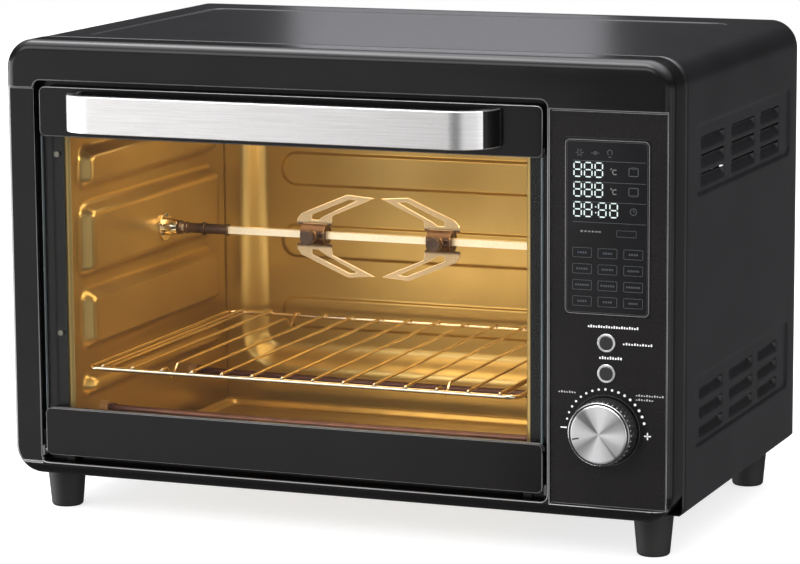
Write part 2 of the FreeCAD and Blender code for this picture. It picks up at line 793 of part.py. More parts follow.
def make_fork(label, hub_x, side):
    """A stamped fork: a hub on the spit, and two slotted arms that point along it."""
    y = at(D.spit_depth)
    half_gauge = 1

    def point(along, up):
        return (hub_x + side * along, D.spit_height + up)

    arm_outline = [(-17, 8), (-17, 13), (-13, 18), (30, 36), (55, 34), (44, 29), (16, 17), (15, 8)]
    slot_outline = [(-3, 13), (-3, 17), (32, 32), (38, 31), (7, 16), (3, 13)]
    plates = []
    for direction in (1, -1):
        name = "%s_arm_%s" % (label, "up" if direction > 0 else "down")
        body = doc.addObject("PartDesign::Body", name)
        item = sheet_front(body, name + "_outline", y - half_gauge)
        outline(item, [point(along, up * direction) for along, up in arm_outline])
        pad(body, item, 2 * half_gauge, True)
        item = sheet_front(body, name + "_slot", y - half_gauge - 1)
        outline(item, [point(along, up * direction) for along, up in slot_outline])
        pocket(body, item, 2 * half_gauge + 2)
        plates.append(body)
    hub = rod(label + "_hub", "x", 9.5, hub_x - 11, hub_x + 11, (y, D.spit_height))
    cross = rod(label + "_boss", "y", 4.5, y - 13, y - 6, (hub_x, D.spit_height))
    square = D.spit_side / 2 + 0.1
    tunnel = box(label + "_tunnel", (hub_x - 20, hub_x + 20), (y - square, y + square),
                 (D.spit_height - square, D.spit_height + square))
    thread = rod(label + "_thread", "y", 2.5, y - 30, y - 1, (hub_x, D.spit_height))
    solid = fuse(label + "_solid", plates + [hub, cross])
    node(cut(label + "_bored", solid, [fuse(label + "_bores", [tunnel, thread])]), label)


def make_thumbscrew(label, hub_x):
    """The clamp screw of one fork hub, its point on the spit."""
    y = at(D.spit_depth)
    centre = (hub_x, D.spit_height)
    shank = rod(label + "_shank", "y", 2.5, y - 15, y - D.spit_side / 2, centre)
    head = rod(label + "_head", "y", 6, y - 21, y - 15, centre)
    node(fuse(label + "_solid", [shank, head]), label)


# ---------------------------------------------------------------- convection fan, above the roof


def fan_axis():
    return ((D.cavity_left + D.cavity_right) / 2, at(D.fan_depth))


def make_fan_guard():
    """Slotted disc that covers the fan hole from inside the cavity."""
    body = new_body("fan_guard")
    item = sketch(body, "guard_disc", "XY_Plane", D.cavity_top - D.gauge - 0.1)
    circle(item, 0, 0, D.fan_radius + 6)
    pad(body, item, D.gauge)
    item = sketch(body, "guard_slots", "XY_Plane", D.cavity_top + 2)
    for row in range(-4, 5):
        reach = math.sqrt(44 ** 2 - (9 * row) ** 2) - 3
        rectangle(item, (-reach, -1.5), (9 * row - 2, 9 * row + 2))
        rectangle(item, (1.5, reach), (9 * row - 2, 9 * row + 2))
    pocket(body, item, 5)
    x, y = fan_axis()
    place(body, x, y, 0)


def make_convection_fan():
    """Hub and shaft with eight radial blades."""
    body = new_body("convection_fan")
    floor = D.cavity_top + 5
    item = sketch(body, "fan_hub", "XY_Plane", floor)
    circle(item, 0, 0, 9)
    pad(body, item, 12)
    item = sketch(body, "fan_disc", "XY_Plane", floor + 10)
    circle(item, 0, 0, D.fan_radius - 4)
    pad(body, item, 1)
    item = sketch(body, "fan_shaft", "XY_Plane", floor)
    circle(item, 0, 0, 2.5)
    pad(body, item, 23)
    item = sketch(body, "fan_blade", "XY_Plane", floor)
    rectangle(item, (8, D.fan_radius - 4), (-0.5, 0.5))
    blade = pad(body, item, 10.5)
    blades = body.newObject("PartDesign::PolarPattern", "fan_blades")
    blades.Originals = [blade]
    blades.Axis = (item, ["N_Axis"])
    blades.Angle = 360
    blades.Occurrences = 8
    body.Tip = blades
    doc.recompute()
    x, y = fan_axis()
    place(body, x, y, 0)


def make_fan_housing():
    x, y = fan_axis()
    low = D.cavity_top + D.gauge
    top = low + 20
    can = rod("fan_can", "z", D.fan_radius + 10, low, top, (x, y))
    room = rod("fan_can_room", "z", D.fan_radius + 9, low - 1, top - D.gauge, (x, y))
    hole = rod("fan_can_hole", "z", 2.5 + D.running_gap, low, top + 5, (x, y))
    node(cut("fan_can_open", can, [fuse("fan_can_voids", [room, hole])]), "fan_housing")


def make_fan_motor():
    x, y = fan_axis()
    low = D.cavity_top + D.gauge + 21
    case = rod("fan_motor_case", "z", 22, low, low + 24, (x, y))
    bore = rod("fan_motor_bore", "z", 2.5 + D.running_gap, low - 1, low + 8, (x, y))
    ears = box("fan_motor_ears", (x - 34, x + 34), (y - 6, y + 6), (low, low + 1.5))
    node(cut("fan_motor_open", fuse("fan_motor_solid", [case, ears]), [bore]), "fan_motor")


# ---------------------------------------------------------------- door


def make_rail(label, low, high, groove_low, groove_high):
    """A moulded bar across the door with a groove for the glass."""
    body = new_body(label)
    front = at(-1)
    item = sheet_front(body, label + "_outline", front)
    rectangle(item, (D.door_left, D.door_right), (low, high))
    bar = pad(body, item, 9, True)
    bar = round_edges(body, bar, 5, lambda edge: runs_along(edge, "y"))
    round_edges(body, bar, 0.8, lambda edge: edge.BoundBox.YMax < front.value + 1e-3)
    item = sketch(body, label + "_groove", "YZ_Plane", D.door_left - 1)
    rectangle(item, (at(0), at(D.glass_gauge)), (groove_low, groove_high))
    pocket(body, item, D.width, True)
    return body


def make_door_rails():
    grip = 6
    top_rail = make_rail("door_top_rail", D.rail_bottom, D.door_top, D.rail_bottom - 1, D.rail_bottom + grip)
    holes = sheet_front(top_rail, "rail_screw_holes", at(-2))
    for x in HANDLE_SCREW_XS:
        circle(holes, x, HANDLE_MIDDLE, 2)
    pocket(top_rail, holes, 12)
    trim = make_rail("door_bottom_trim", D.door_bottom, D.trim_top, D.trim_top - grip, D.trim_top + 1)
    bores = sketch(trim, "trim_pin_bores", "YZ_Plane", D.door_left - 1)
    circle(bores, at(D.hinge_depth), D.hinge_height, D.pin_radius + D.running_gap)
    pocket(trim, bores, D.width, True)


def make_door_glass():
    grip = 6
    node(box("door_pane", (D.door_left + 0.3, D.door_right - 0.3), (at(0), at(D.glass_gauge)),
             (D.trim_top - grip, D.rail_bottom + grip)), "door_glass")


HANDLE_LEFT = -227.4
HANDLE_RIGHT = 148.5
HANDLE_LOW = 330
HANDLE_HIGH = 361
HANDLE_MIDDLE = (HANDLE_LOW + HANDLE_HIGH) / 2
HANDLE_SCREW_XS = (HANDLE_LEFT + 4.5, HANDLE_RIGHT - 4.5)
HANDLE_CORNER = 32


def bow_outline(item, left, right, front, rear, wall):
    """A wide U seen from above, open to the back."""
    outline(item, [(left, rear), (left, front), (right, front), (right, rear),
                   (right - wall, rear), (right - wall, front + wall), (left + wall, front + wall),
                   (left + wall, rear)])


def round_bow(body, feature, left, right, outer_radius, wall):
    """Round the two outer and the two inner corners of the bow."""
    for reach, radius in ((0, outer_radius), (wall, outer_radius - wall)):
        front_limit = at(-15).value
        xs = (left + reach, right - reach)
        feature = round_edges(body, feature, radius, lambda edge: runs_along(edge, "z")
                              and edge.BoundBox.YMin < front_limit
                              and min(abs(edge.BoundBox.XMin - x) for x in xs) < 1e-3)
    return feature


def make_handle():
    plate_gauge = 1.2
    arm = 9
    wrap = 12.3
    body = new_body("handle_body")
    item = sketch(body, "handle_bow", "XY_Plane", HANDLE_LOW)
    front = at(plate_gauge - D.handle_reach)
    bow_outline(item, HANDLE_LEFT, HANDLE_RIGHT, front, at(-1), arm)
    bow = pad(body, item, HANDLE_HIGH - HANDLE_LOW)
    round_bow(body, bow, HANDLE_LEFT, HANDLE_RIGHT, HANDLE_CORNER, arm)
    holes = sheet_front(body, "handle_screw_holes", at(-1))
    for x in HANDLE_SCREW_XS:
        circle(holes, x, HANDLE_MIDDLE, 2)
    pocket(body, holes, 10, True)
    plate = new_body("handle_plate")
    item = sketch(plate, "plate_bow", "XY_Plane", HANDLE_LOW + 0.5)
    left = HANDLE_LEFT - plate_gauge
    right = HANDLE_RIGHT + plate_gauge
    bow_outline(item, left, right, at(-D.handle_reach), at(-plate_gauge), plate_gauge)
    bow = pad(plate, item, HANDLE_HIGH - HANDLE_LOW - 1)
    round_bow(plate, bow, left, right, HANDLE_CORNER + plate_gauge, plate_gauge)
    ends = sheet_front(plate, "plate_ends", at(wrap - D.handle_reach))
    rectangle(ends, (left - 1, right + 1), (HANDLE_LOW, HANDLE_HIGH))
    pocket(plate, ends, D.handle_reach)


def make_handle_screws():
    screws = []
    for index, x in enumerate(HANDLE_SCREW_XS):
        centre = (x, HANDLE_MIDDLE)
        shank = rod("handle_screw_shank_%d" % index, "y", 2, at(-9), at(8), centre)
        head = rod("handle_screw_head_%d" % index, "y", 4, at(8), at(10), centre)
        screws.append(fuse("handle_screw_%d" % index, [shank, head]))
    node(group("handle_screw_group", screws), "handle_screws")


PIN_LENGTH = 18


def make_hinges():
    """A bracket on the front plate at each lower corner of the door, its pin riveted in."""
    sides = [("left", D.opening_left + 1.2, 1), ("right", D.door_right + 0.8, -1)]
    for side, x, inward in sides:
        centre = (at(D.hinge_depth), D.hinge_height)
        tab = box("hinge_tab_" + side, (x, x + 2), (at(1), at(D.plate_depth)),
                  (D.hinge_height - 4, D.hinge_height + 4))
        foot_xs = (x - 8, x + 2) if inward > 0 else (x, x + 2.4)
        foot = box("hinge_foot_" + side, foot_xs, (at(D.plate_depth - 1), at(D.plate_depth)),
                   (D.hinge_height - 4, D.hinge_height + 16))
        if inward > 0:
            ends = (x - 0.5, x + PIN_LENGTH)
        else:
            ends = (x + 2.5 - PIN_LENGTH, x + 2.3)
        pin = rod("hinge_pin_" + side, "x", D.pin_radius, ends[0], ends[1], centre)
        node(fuse("hinge_solid_" + side, [tab, foot, pin]), "hinge_bracket_" + side)


# ---------------------------------------------------------------- control panel


WINDOW_XS = (200.5, 271.8)
WINDOW_ZS = (199.5, 340.4)


def button_spots():
    return [("lamp_button", D.lamp_button_height), ("start_button", D.start_button_height)]


def make_control_panel():
    body = new_body("control_panel")
    face = at(D.panel_recess)
    gap = 0.2
    item = sheet_front(body, "panel_outline", face)
    rectangle(item, (D.panel_left + gap, D.panel_right - gap), (D.panel_bottom + gap, D.panel_top - gap))
    pad(body, item, D.panel_gauge, True)
    item = sheet_front(body, "knob_ring", face - 0.8)
    circle(item, D.knob_across, D.knob_height, 28.9)
    circle(item, D.knob_across, D.knob_height, 27.6)
    pad(body, item, 0.8, True)
    item = sheet_front(body, "panel_holes", face - 1)
    circle(item, D.knob_across, D.knob_height, 5)
    for _, z in button_spots():
        circle(item, D.button_across, z, D.button_radius + D.running_gap)
    rectangle(item, (WINDOW_XS[0] + 3, WINDOW_XS[1] - 3), (WINDOW_ZS[0] + 3, WINDOW_ZS[1] - 3))
    pocket(body, item, 6)
    item = sheet_front(body, "window_seat", face - 1)
    rectangle(item, WINDOW_XS, WINDOW_ZS)
    pocket(body, item, 2)


def make_display_window():
    face = at(D.panel_recess)
    node(box("display_lens", (WINDOW_XS[0] + 0.1, WINDOW_XS[1] - 0.1), (face - 0.3, face + 1),
             (WINDOW_ZS[0] + 0.1, WINDOW_ZS[1] - 0.1)), "display_window")


def make_buttons():
    rings = []
    face = at(D.panel_recess)
    for label, z in button_spots():
        centre = (D.button_across, z)
        cap = rod(label + "_cap", "y", D.button_radius, face - 2, face + 7, centre)
        rim = rod(label + "_collar", "y", D.button_radius + 1.5, face + D.panel_gauge + 0.05,
                  face + D.panel_gauge + 1, centre)
        node(fuse(label + "_solid", [cap, rim]), label)
        ring = rod(label + "_ring", "y", 7.4, face - 1.2, face, centre)
        bore = rod(label + "_ring_bore", "y", D.button_radius + D.running_gap, face - 3, face + 1, centre)
        rings.append(cut(label + "_bezel", ring, [bore]))
    node(group("button_ring_pair", rings), "button_bezels")


def make_knob():
    """Black moulded body with a spun metal cap let into its front."""
    body = new_body("knob_body")
    item = sketch(body, "knob_profile", "XY_Plane")
    front = at(-D.knob_reach)
    rear = at(D.panel_recess - D.press_travel - 0.3)
    cap_radius = D.knob_radius - 2.3
    outline(item, [(3, rear), (3, at(-6)), (0, at(-6)), (0, front + 1.5), (cap_radius, front + 1.5),
                   (cap_radius, front), (D.knob_radius, front), (D.knob_radius + 1.2, rear)])
    revolve(body, item, "V_Axis")
    place(body, D.knob_across, 0, D.knob_height)
    cap = new_body("knob_cap")
    item = sketch(cap, "cap_profile", "XY_Plane")
    outline(item, [(0, front + 1.5), (cap_radius, front + 1.5), (cap_radius, front - 0.1),
                   (cap_radius - 0.7, front - 0.7), (0, front - 0.7)])
    revolve(cap, item, "V_Axis")
    place(cap, D.knob_across, 0, D.knob_height)


def make_encoder():
    """Switch behind the knob: case, turning rotor, and a flatted shaft that slides in the rotor."""
    x, z = D.knob_across, D.knob_height
    shaft_radius = 3
    flat = 2.3
    shaft = rod("shaft_round", "y", shaft_radius, at(-6), at(14.5), (x, z))
    flat_cut = box("shaft_flat", (x - 5, x + 5), (at(6), at(20)), (z + flat, z + 6))
    node(cut("shaft_flatted", shaft, [flat_cut]), "encoder_shaft")
    rotor = rod("rotor_disc", "y", 6, at(9), at(13), (x, z))
    bore = rod("rotor_round", "y", shaft_radius + D.running_gap, at(8), at(14), (x, z))
    trim = box("rotor_flat", (x - 5, x + 5), (at(8), at(14)), (z + flat + D.running_gap, z + 6))
    node(cut("rotor_bored", rotor, [cut("rotor_hole", bore, [trim])]), "encoder_rotor")
    case = box("encoder_case", (x - 8, x + 8), (at(6), at(17)), (z - 8, z + 8))
    nose = rod("encoder_nose", "y", 4.8, at(3.5), at(6), (x, z))
    room = rod("encoder_room", "y", 6 + D.running_gap, at(9), at(18), (x, z))
    throat = rod("encoder_throat", "y", shaft_radius + D.running_gap, at(3), at(10), (x, z))
    voids = fuse("encoder_voids", [room, throat])
    node(cut("encoder_open", fuse("encoder_solid", [case, nose]), [voids]), "encoder_body")


def make_boards():
    x_range = (D.panel_left + 6, D.panel_right - 8)
    board = box("logic_board", x_range, (at(17.2), at(18.8)), (60, 350))
    module = box("display_module", (WINDOW_XS[0] + 5, WINDOW_XS[1] - 5), (at(5.7), at(17.2)),
                 (WINDOW_ZS[0] + 5, WINDOW_ZS[1] - 5))
    node(fuse("control_electronics", [board, module]), "control_board")
    plate = box("relay_board", (262, 263.6), (at(60), at(230)), (56, 210))
    parts = [box("relay_%d" % index, (246, 262), (at(72 + 36 * index), at(96 + 36 * index)), (70, 92))
             for index in range(4)]
    parts.append(box("transformer", (236, 262), (at(80), at(116)), (130, 166)))
    parts.append(rod("capacitor", "x", 8, 242, 262, (at(180), 150)))
    node(fuse("power_electronics", [plate] + parts), "power_board")


def make_cord_gland():
    """Grommet through the back panel, where the supply cord would enter."""
    x, z = GLAND_SPOT
    barrel = rod("gland_barrel", "y", 7, at(351), at(360), (x, z))
    collar = rod("gland_collar", "y", 10, at(356 + D.gauge), at(361), (x, z))
    inner = rod("gland_inner_collar", "y", 10, at(352), at(356), (x, z))
    bore = rod("gland_bore", "y", 4, at(350), at(363), (x, z))
    node(cut("gland_open", fuse("gland_solid", [barrel, collar, inner]), [bore]), "cord_gland")


# ---------------------------------------------------------------- feet and screws


FOOT_WELL = 5.5


def make_feet():
    for name, x, depth in foot_spots():
        label = "foot_" + name
        body = new_body(label)
        item = sketch(body, label + "_profile", "XZ_Plane")
        shoulder = D.foot_height - 0.2
        top = D.foot_height + D.cover_step
        outline(item, [(FOOT_WELL, 0), (12, 0), (13.4, 1.6), (16.5, shoulder), (8, shoulder), (8, top),
                       (SCREW_HOLE, top), (SCREW_HOLE, top - 8), (FOOT_WELL, top - 8)])
        revolve(body, item, "V_Axis")
        place(body, x, at(depth), 0)


def screw(name, axis, seat, point, centre, head=3.6):
    """A pan head on one side of its seat and a shank on the other."""
    facing = 1 if point > seat else -1
    shank_radius = 1.6
    if facing > 0:
        shank = rod(name + "_shank", axis, shank_radius, seat, point, centre)
        cap = rod(name + "_head", axis, head, seat - 2.2, seat, centre)
    else:
        shank = rod(name + "_shank", axis, shank_radius, point, seat, centre)
        cap = rod(name + "_head", axis, head, seat, seat + 2.2, centre)
    return fuse(name, [shank, cap])


def make_panel_screws():
    """Identical pan-head screws: front plate, back panel and feet."""
    screws = []
    for row, z in enumerate(FRONT_SCREW_ZS):
        for column, x in enumerate(FRONT_SCREW_XS):
            seat = D.front_face.value + D.plate_depth.value
            screws.append(screw("front_screw_%d_%d" % (row, column), "y", seat, seat + 7, (x, z), 2.4))
    for row, z in enumerate(REAR_SCREW_ZS):
        for column, x in enumerate(REAR_SCREW_XS):
            seat = D.front_face.value + 356 + D.gauge.value
            screws.append(screw("rear_screw_%d_%d" % (row, column), "y", seat, seat - 7, (x, z)))
    for name, x, depth in foot_spots():
        seat = D.foot_height.value + D.cover_step.value - 8
        screws.append(screw("foot_screw_" + name, "z", seat, seat + 13, (x, at(depth))))
    node(group("panel_screw_group", screws), "panel_screws")


# ---------------------------------------------------------------- build, check and write

make_front_frame()
make_cabinet_cover()
make_base_pan()
make_back_panel()
make_front_plate()
make_left_wall()
make_right_wall()
make_roof()
make_floor()
make_back_wall()
make_heaters()
make_wire_rack()
make_crumb_tray()
make_temperature_probe()
make_lamp()
make_spit()
make_spit_bearing()
make_bearing_screws()
make_drive_socket()
make_rotisserie_motor()
make_fork("fork_left", FORK_HUBS[0], 1)
make_fork("fork_right", FORK_HUBS[1], -1)
make_thumbscrew("thumbscrew_left", FORK_HUBS[0])
make_thumbscrew("thumbscrew_right", FORK_HUBS[1])
make_fan_guard()
make_convection_fan()
make_fan_housing()
make_fan_motor()
make_door_rails()
make_door_glass()
make_handle()
make_handle_screws()
make_hinges()
make_control_panel()
make_display_window()
make_buttons()
make_knob()
make_encoder()
make_boards()
make_cord_gland()
make_feet()
make_panel_screws()

doc.recompute()
for obj in doc.Objects:
    if "Invalid" in obj.State or "Error" in obj.State:
        raise ValueError("%s did not compute" % obj.Label)
os.makedirs("parts", exist_ok=True)
for obj in nodes:
    if obj.Shape.isNull() or not obj.Shape.isValid() or not obj.Shape.Solids:
        raise ValueError("%s is not a valid solid" % obj.Label)
for obj in nodes:
    obj.Shape.exportStep("parts/%s.step" % obj.Label)
print(len(nodes), "sub-parts written")
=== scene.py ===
"""Looks of a countertop oven-style air fryer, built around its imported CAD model.

Everything is in metres in the CAD's frame: +X to the user's right, +Y to the back, +Z up.
Helper functions for small flat work take millimetres and say so.
"""

import math

import bmesh
import bpy
import numpy as np
from mathutils import Matrix, Vector


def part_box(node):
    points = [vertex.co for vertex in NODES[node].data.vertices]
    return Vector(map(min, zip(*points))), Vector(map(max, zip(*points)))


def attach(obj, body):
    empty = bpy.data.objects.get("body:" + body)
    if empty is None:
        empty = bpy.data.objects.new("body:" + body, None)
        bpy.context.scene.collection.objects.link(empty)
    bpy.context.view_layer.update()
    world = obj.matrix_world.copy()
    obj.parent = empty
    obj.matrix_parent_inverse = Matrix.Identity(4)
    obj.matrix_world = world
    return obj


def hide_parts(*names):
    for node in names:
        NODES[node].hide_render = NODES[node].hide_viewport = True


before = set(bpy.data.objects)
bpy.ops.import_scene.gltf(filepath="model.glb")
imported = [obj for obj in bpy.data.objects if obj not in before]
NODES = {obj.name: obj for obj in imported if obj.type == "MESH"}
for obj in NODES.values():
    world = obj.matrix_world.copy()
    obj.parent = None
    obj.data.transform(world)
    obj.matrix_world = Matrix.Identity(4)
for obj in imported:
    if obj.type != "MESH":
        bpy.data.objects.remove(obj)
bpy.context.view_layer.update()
MM = 0.001
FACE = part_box("front_frame")[0].y
GAUGE = 0.8 * MM
BOX_FACES = [(0, 1, 3, 2), (4, 6, 7, 5), (0, 4, 5, 1), (2, 3, 7, 6), (0, 2, 6, 4), (1, 5, 7, 3)]
# (degrees round the knob's axis, brightness) of the fans of light painted into the colour of the knob's spun
# face: painted reflections
PAINTED_FAN_STOPS = [(-180, 0.94), (-165, 0.88), (-142, 0.42), (-128, 0.58), (-106, 1.0), (-68, 1.0), (-56, 0.98),
             (-51, 0.38), (-46, 0.85), (-22, 0.96), (0, 0.92), (16, 0.58), (36, 0.4), (54, 0.85),
             (72, 1.0), (116, 1.0), (126, 0.38), (141, 0.42), (147, 0.94), (180, 0.94)]


# ------ materials

def add_node(tree, kind, inputs=None, **properties):
    """Adds a shader node. Each input is a value, or another node's output to link it to."""
    made = tree.nodes.new("ShaderNode" + kind)
    for name, value in properties.items():
        setattr(made, name, value)
    for socket, value in (inputs or {}).items():
        if isinstance(value, bpy.types.NodeSocket):
            tree.links.new(value, made.inputs[socket])
        else:
            made.inputs[socket].default_value = value
    return made


def empty_tree(owner):
    """The node tree of a new material or world, with nothing in it."""
    owner.use_nodes = True
    owner.node_tree.nodes.clear()
    return owner.node_tree


def own_coordinates(tree):
    return add_node(tree, "TexCoord").outputs["Object"]


def noise_at(tree, scale, stretch=(1, 1, 1), detail=3.0):
    """Noise over the piece's own coordinates, stretched by its scale on each axis."""
    mapping = add_node(tree, "Mapping", {"Vector": own_coordinates(tree),
                                         "Scale": [scale * each for each in stretch]})
    return add_node(tree, "TexNoise", {"Vector": mapping.outputs["Vector"], "Scale": 1.0,
                                       "Detail": detail}).outputs["Fac"]


def spread(tree, source, low, high, near=0.3, far=0.7):
    """A value that runs from low to high as the source runs from near to far."""
    return add_node(tree, "MapRange", {"Value": source, "From Min": near, "From Max": far,
                                       "To Min": low, "To Max": high}).outputs["Result"]


def mixed(tree, factor, first, second, blend="MIX"):
    """Two colours mixed, or combined in another way."""
    return add_node(tree, "Mix", {"Factor": factor, "A": first, "B": second}, data_type="RGBA",
                    blend_type=blend).outputs["Result"]


def colour_ramp(tree, factor, stops):
    """The colour at a factor between stops of (place, colour)."""
    ramp = add_node(tree, "ValToRGB", {"Fac": factor})
    while len(ramp.color_ramp.elements) < len(stops):
        ramp.color_ramp.elements.new(0.5)
    for element, (place, colour) in zip(ramp.color_ramp.elements, stops):
        element.position = place
        element.color = (*colour, 1)
    return ramp.outputs["Color"]


def tinted_hub(tree, colour, radius, tint):
    """Mixes in a tint close to the spit's axis, by the distance from it."""
    low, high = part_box("spit_rod")
    soft = 1 * MM
    flat = add_node(tree, "VectorMath", {0: own_coordinates(tree), 1: (0, 1, 1)}, operation="MULTIPLY")
    away = add_node(tree, "VectorMath", {0: flat.outputs["Vector"],
                                         1: (0, (low.y + high.y) / 2, (low.z + high.z) / 2)},
                    operation="DISTANCE").outputs["Value"]
    return mixed(tree, spread(tree, away, 1, 0, radius - soft, radius + soft), colour, (*tint, 1))


def grey(value):
    return (value, value, value)


def paint_fan_highlights(tree, colour, stops):
    """Paints fans of reflected light into a colour by the angle round the knob's axis: painted reflections;
    stops are (degrees, brightness).
    """
    low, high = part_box("knob_cap")
    split = add_node(tree, "SeparateXYZ", {"Vector": own_coordinates(tree)})

    def math_node(operation, *values):
        return add_node(tree, "Math", dict(enumerate(values)), operation=operation).outputs["Value"]

    across = math_node("SUBTRACT", split.outputs["X"], (low.x + high.x) / 2)
    above = math_node("SUBTRACT", split.outputs["Z"], (low.z + high.z) / 2)
    turn = math_node("MULTIPLY_ADD", math_node("ARCTAN2", above, across), 0.5 / math.pi, 0.5)
    shades = colour_ramp(tree, turn, [(degrees / 360 + 0.5, grey(value)) for degrees, value in stops])
    return mixed(tree, 1.0, colour, shades, "MULTIPLY")


def finish(name, dark, light, rough, metallic=0.0, specular=0.5, patch=18.0, stretch=(1, 1, 1),
           grain=900.0, grain_stretch=(1, 1, 1), bump=0.0, anisotropic=0.0, glow=None,
           glow_strength=0.0, hub=None, painted_fans=None):
    """A surface whose colour and roughness wander a little, with a fine bump of its own grain.
    hub is (radius, colour): that colour inside the radius round the spit's axis.
    The last argument gives the (degrees, brightness) stops of fans of light painted into the colour of the
    knob's face: painted reflections."""
    material = bpy.data.materials.new(name)
    tree = empty_tree(material)
    patches = spread(tree, noise_at(tree, patch, stretch), 0, 1)
    colour = mixed(tree, patches, (*dark, 1), (*light, 1))
    if hub is not None:
        colour = tinted_hub(tree, colour, *hub)
    # painted reflections: fans of light painted into the colour by the angle round the knob's axis
    if painted_fans is not None:
        colour = paint_fan_highlights(tree, colour, painted_fans)
    fine = noise_at(tree, grain, grain_stretch, 2.0)
    look = {"Base Color": colour, "Roughness": spread(tree, fine, *rough), "Metallic": metallic,
            "Specular IOR Level": specular, "Anisotropic": anisotropic}
    if glow is not None:
        look["Emission Color"] = (*glow, 1)
        look["Emission Strength"] = glow_strength
    if bump > 0:
        relief = add_node(tree, "Bump", {"Strength": 1.0, "Distance": bump, "Height": fine})
        look["Normal"] = relief.outputs["Normal"]
    if anisotropic > 0:
        tangent = add_node(tree, "Tangent", direction_type="RADIAL", axis="Y")
        look["Tangent"] = tangent.outputs["Tangent"]
    shader = add_node(tree, "BsdfPrincipled", look)
    add_node(tree, "OutputMaterial", {"Surface": shader.outputs["BSDF"]})
    return material


def ink(name, dark, light, **more):
    """Matt print on the panel and behind the display window."""
    return finish(name, dark, light, (0.4, 0.5), grain=3000, **more)


def glass(name, tint, rough):
    """Thin clear glass: light goes straight through, and the surface mirrors by Fresnel."""
    material = bpy.data.materials.new(name)
    tree = empty_tree(material)
    clear = add_node(tree, "BsdfTransparent", {"Color": (*tint, 1)})
    mirror = add_node(tree, "BsdfGlossy", {"Roughness": spread(tree, noise_at(tree, 60.0), *rough)})
    fresnel = add_node(tree, "Fresnel", {"IOR": 1.16})
    mix = add_node(tree, "MixShader", {0: fresnel.outputs["Fac"], 1: clear.outputs["BSDF"],
                                       2: mirror.outputs["BSDF"]})
    add_node(tree, "OutputMaterial", {"Surface": mix.outputs["Shader"]})
    return material


MATERIALS = {
    "frame_black": finish("gloss_black_plastic", (0.004, 0.0038, 0.0039), (0.0055, 0.0052, 0.0054),
                          (0.17, 0.22), specular=0.24, grain=420, bump=0.8e-6),
    "cover_black": finish("powder_coated_steel", (0.0078, 0.0076, 0.0086), (0.011, 0.0107, 0.012),
                          (0.21, 0.27), specular=0.3, grain=2400, bump=5e-6),
    "trim_black": finish("trim_plastic", (0.0034, 0.003, 0.003), (0.0046, 0.004, 0.004),
                         (0.15, 0.21), specular=0.24, grain=420, bump=0.8e-6),
    "panel_black": finish("panel_plastic", (0.006, 0.0053, 0.0052), (0.0076, 0.0068, 0.0067),
                          (0.24, 0.32), specular=0.22, grain=600, bump=0.8e-6),
    "cavity_gold": finish("gold_enamel", (0.41, 0.278, 0.092), (0.48, 0.33, 0.118), (0.28, 0.33),
                          metallic=0.8, patch=9, grain=40),
    "handle_steel": finish("brushed_steel", (0.68, 0.672, 0.672), (0.8, 0.79, 0.79), (0.26, 0.4),
                           metallic=1.0, patch=40, stretch=(0.4, 1, 26), grain=300,
                           grain_stretch=(0.25, 14, 14), bump=1.2e-5),
    "bright_steel": finish("chromed_wire", (0.72, 0.6, 0.43), (0.8, 0.68, 0.5), (0.14, 0.2),
                           metallic=1.0, patch=20, grain=1500, bump=1e-6),
    "zinc_steel": finish("zinc_plated", (0.46, 0.47, 0.49), (0.58, 0.59, 0.6), (0.32, 0.46),
                         metallic=1.0, patch=50, grain=300, bump=4e-6),
    "heater_tube": finish("heater_sheath", (0.055, 0.024, 0.02), (0.1, 0.045, 0.036), (0.4, 0.55),
                          metallic=0.7, patch=70, bump=8e-6),
    "ceramic": finish("ceramic_bush", (0.2, 0.115, 0.055), (0.27, 0.16, 0.08), (0.3, 0.42),
                      patch=60, bump=5e-6),
    "display": finish("display_lens", (0.006, 0.006, 0.0065), (0.008, 0.008, 0.009), (0.09, 0.14),
                      specular=0.15, grain=400),
    "board_green": finish("circuit_board", (0.02, 0.1, 0.04), (0.03, 0.15, 0.06), (0.35, 0.5),
                          patch=120, bump=5e-6),
    "knob_black": finish("knob_plastic", grey(0.012), grey(0.017), (0.26, 0.36),
                         specular=0.45, grain=2600, bump=4e-6),
    # the fans of light on this spun face are painted into its colour: painted reflections, over its real
    # anisotropic reflections
    "knob_metal": finish("spun_aluminium_painted_fans", (0.92, 0.92, 0.93), (0.97, 0.97, 0.98), (0.28, 0.33),
                         metallic=1.0, patch=30, grain=80, anisotropic=0.8, painted_fans=PAINTED_FAN_STOPS),
    "foot_black": finish("foot_rubber", (0.012, 0.0115, 0.0115), (0.017, 0.0165, 0.016), (0.42, 0.55),
                         specular=0.3, grain=1800, bump=1.5e-5),
    "lamp_glass": finish("lamp_glass_frosted", (0.8, 0.7, 0.5), (0.88, 0.8, 0.62), (0.25, 0.4),
                         patch=80, grain=600, glow=(1.0, 0.72, 0.36), glow_strength=1.6),
    "door_glass": glass("clear_glass", (0.985, 0.99, 0.985), (0.015, 0.03)),
}
DARK_STEEL = finish("oxidised_steel", (0.07, 0.045, 0.035), (0.14, 0.09, 0.065), (0.28, 0.42),
                    metallic=0.9, patch=70, bump=5e-6)
FORK_GOLD = finish("fork_plate_steel", (0.52, 0.37, 0.2), (0.6, 0.43, 0.25), (0.24, 0.3),
                   metallic=0.85, patch=20, grain=1500, bump=1e-6, hub=(0.0105, (0.075, 0.04, 0.024)))
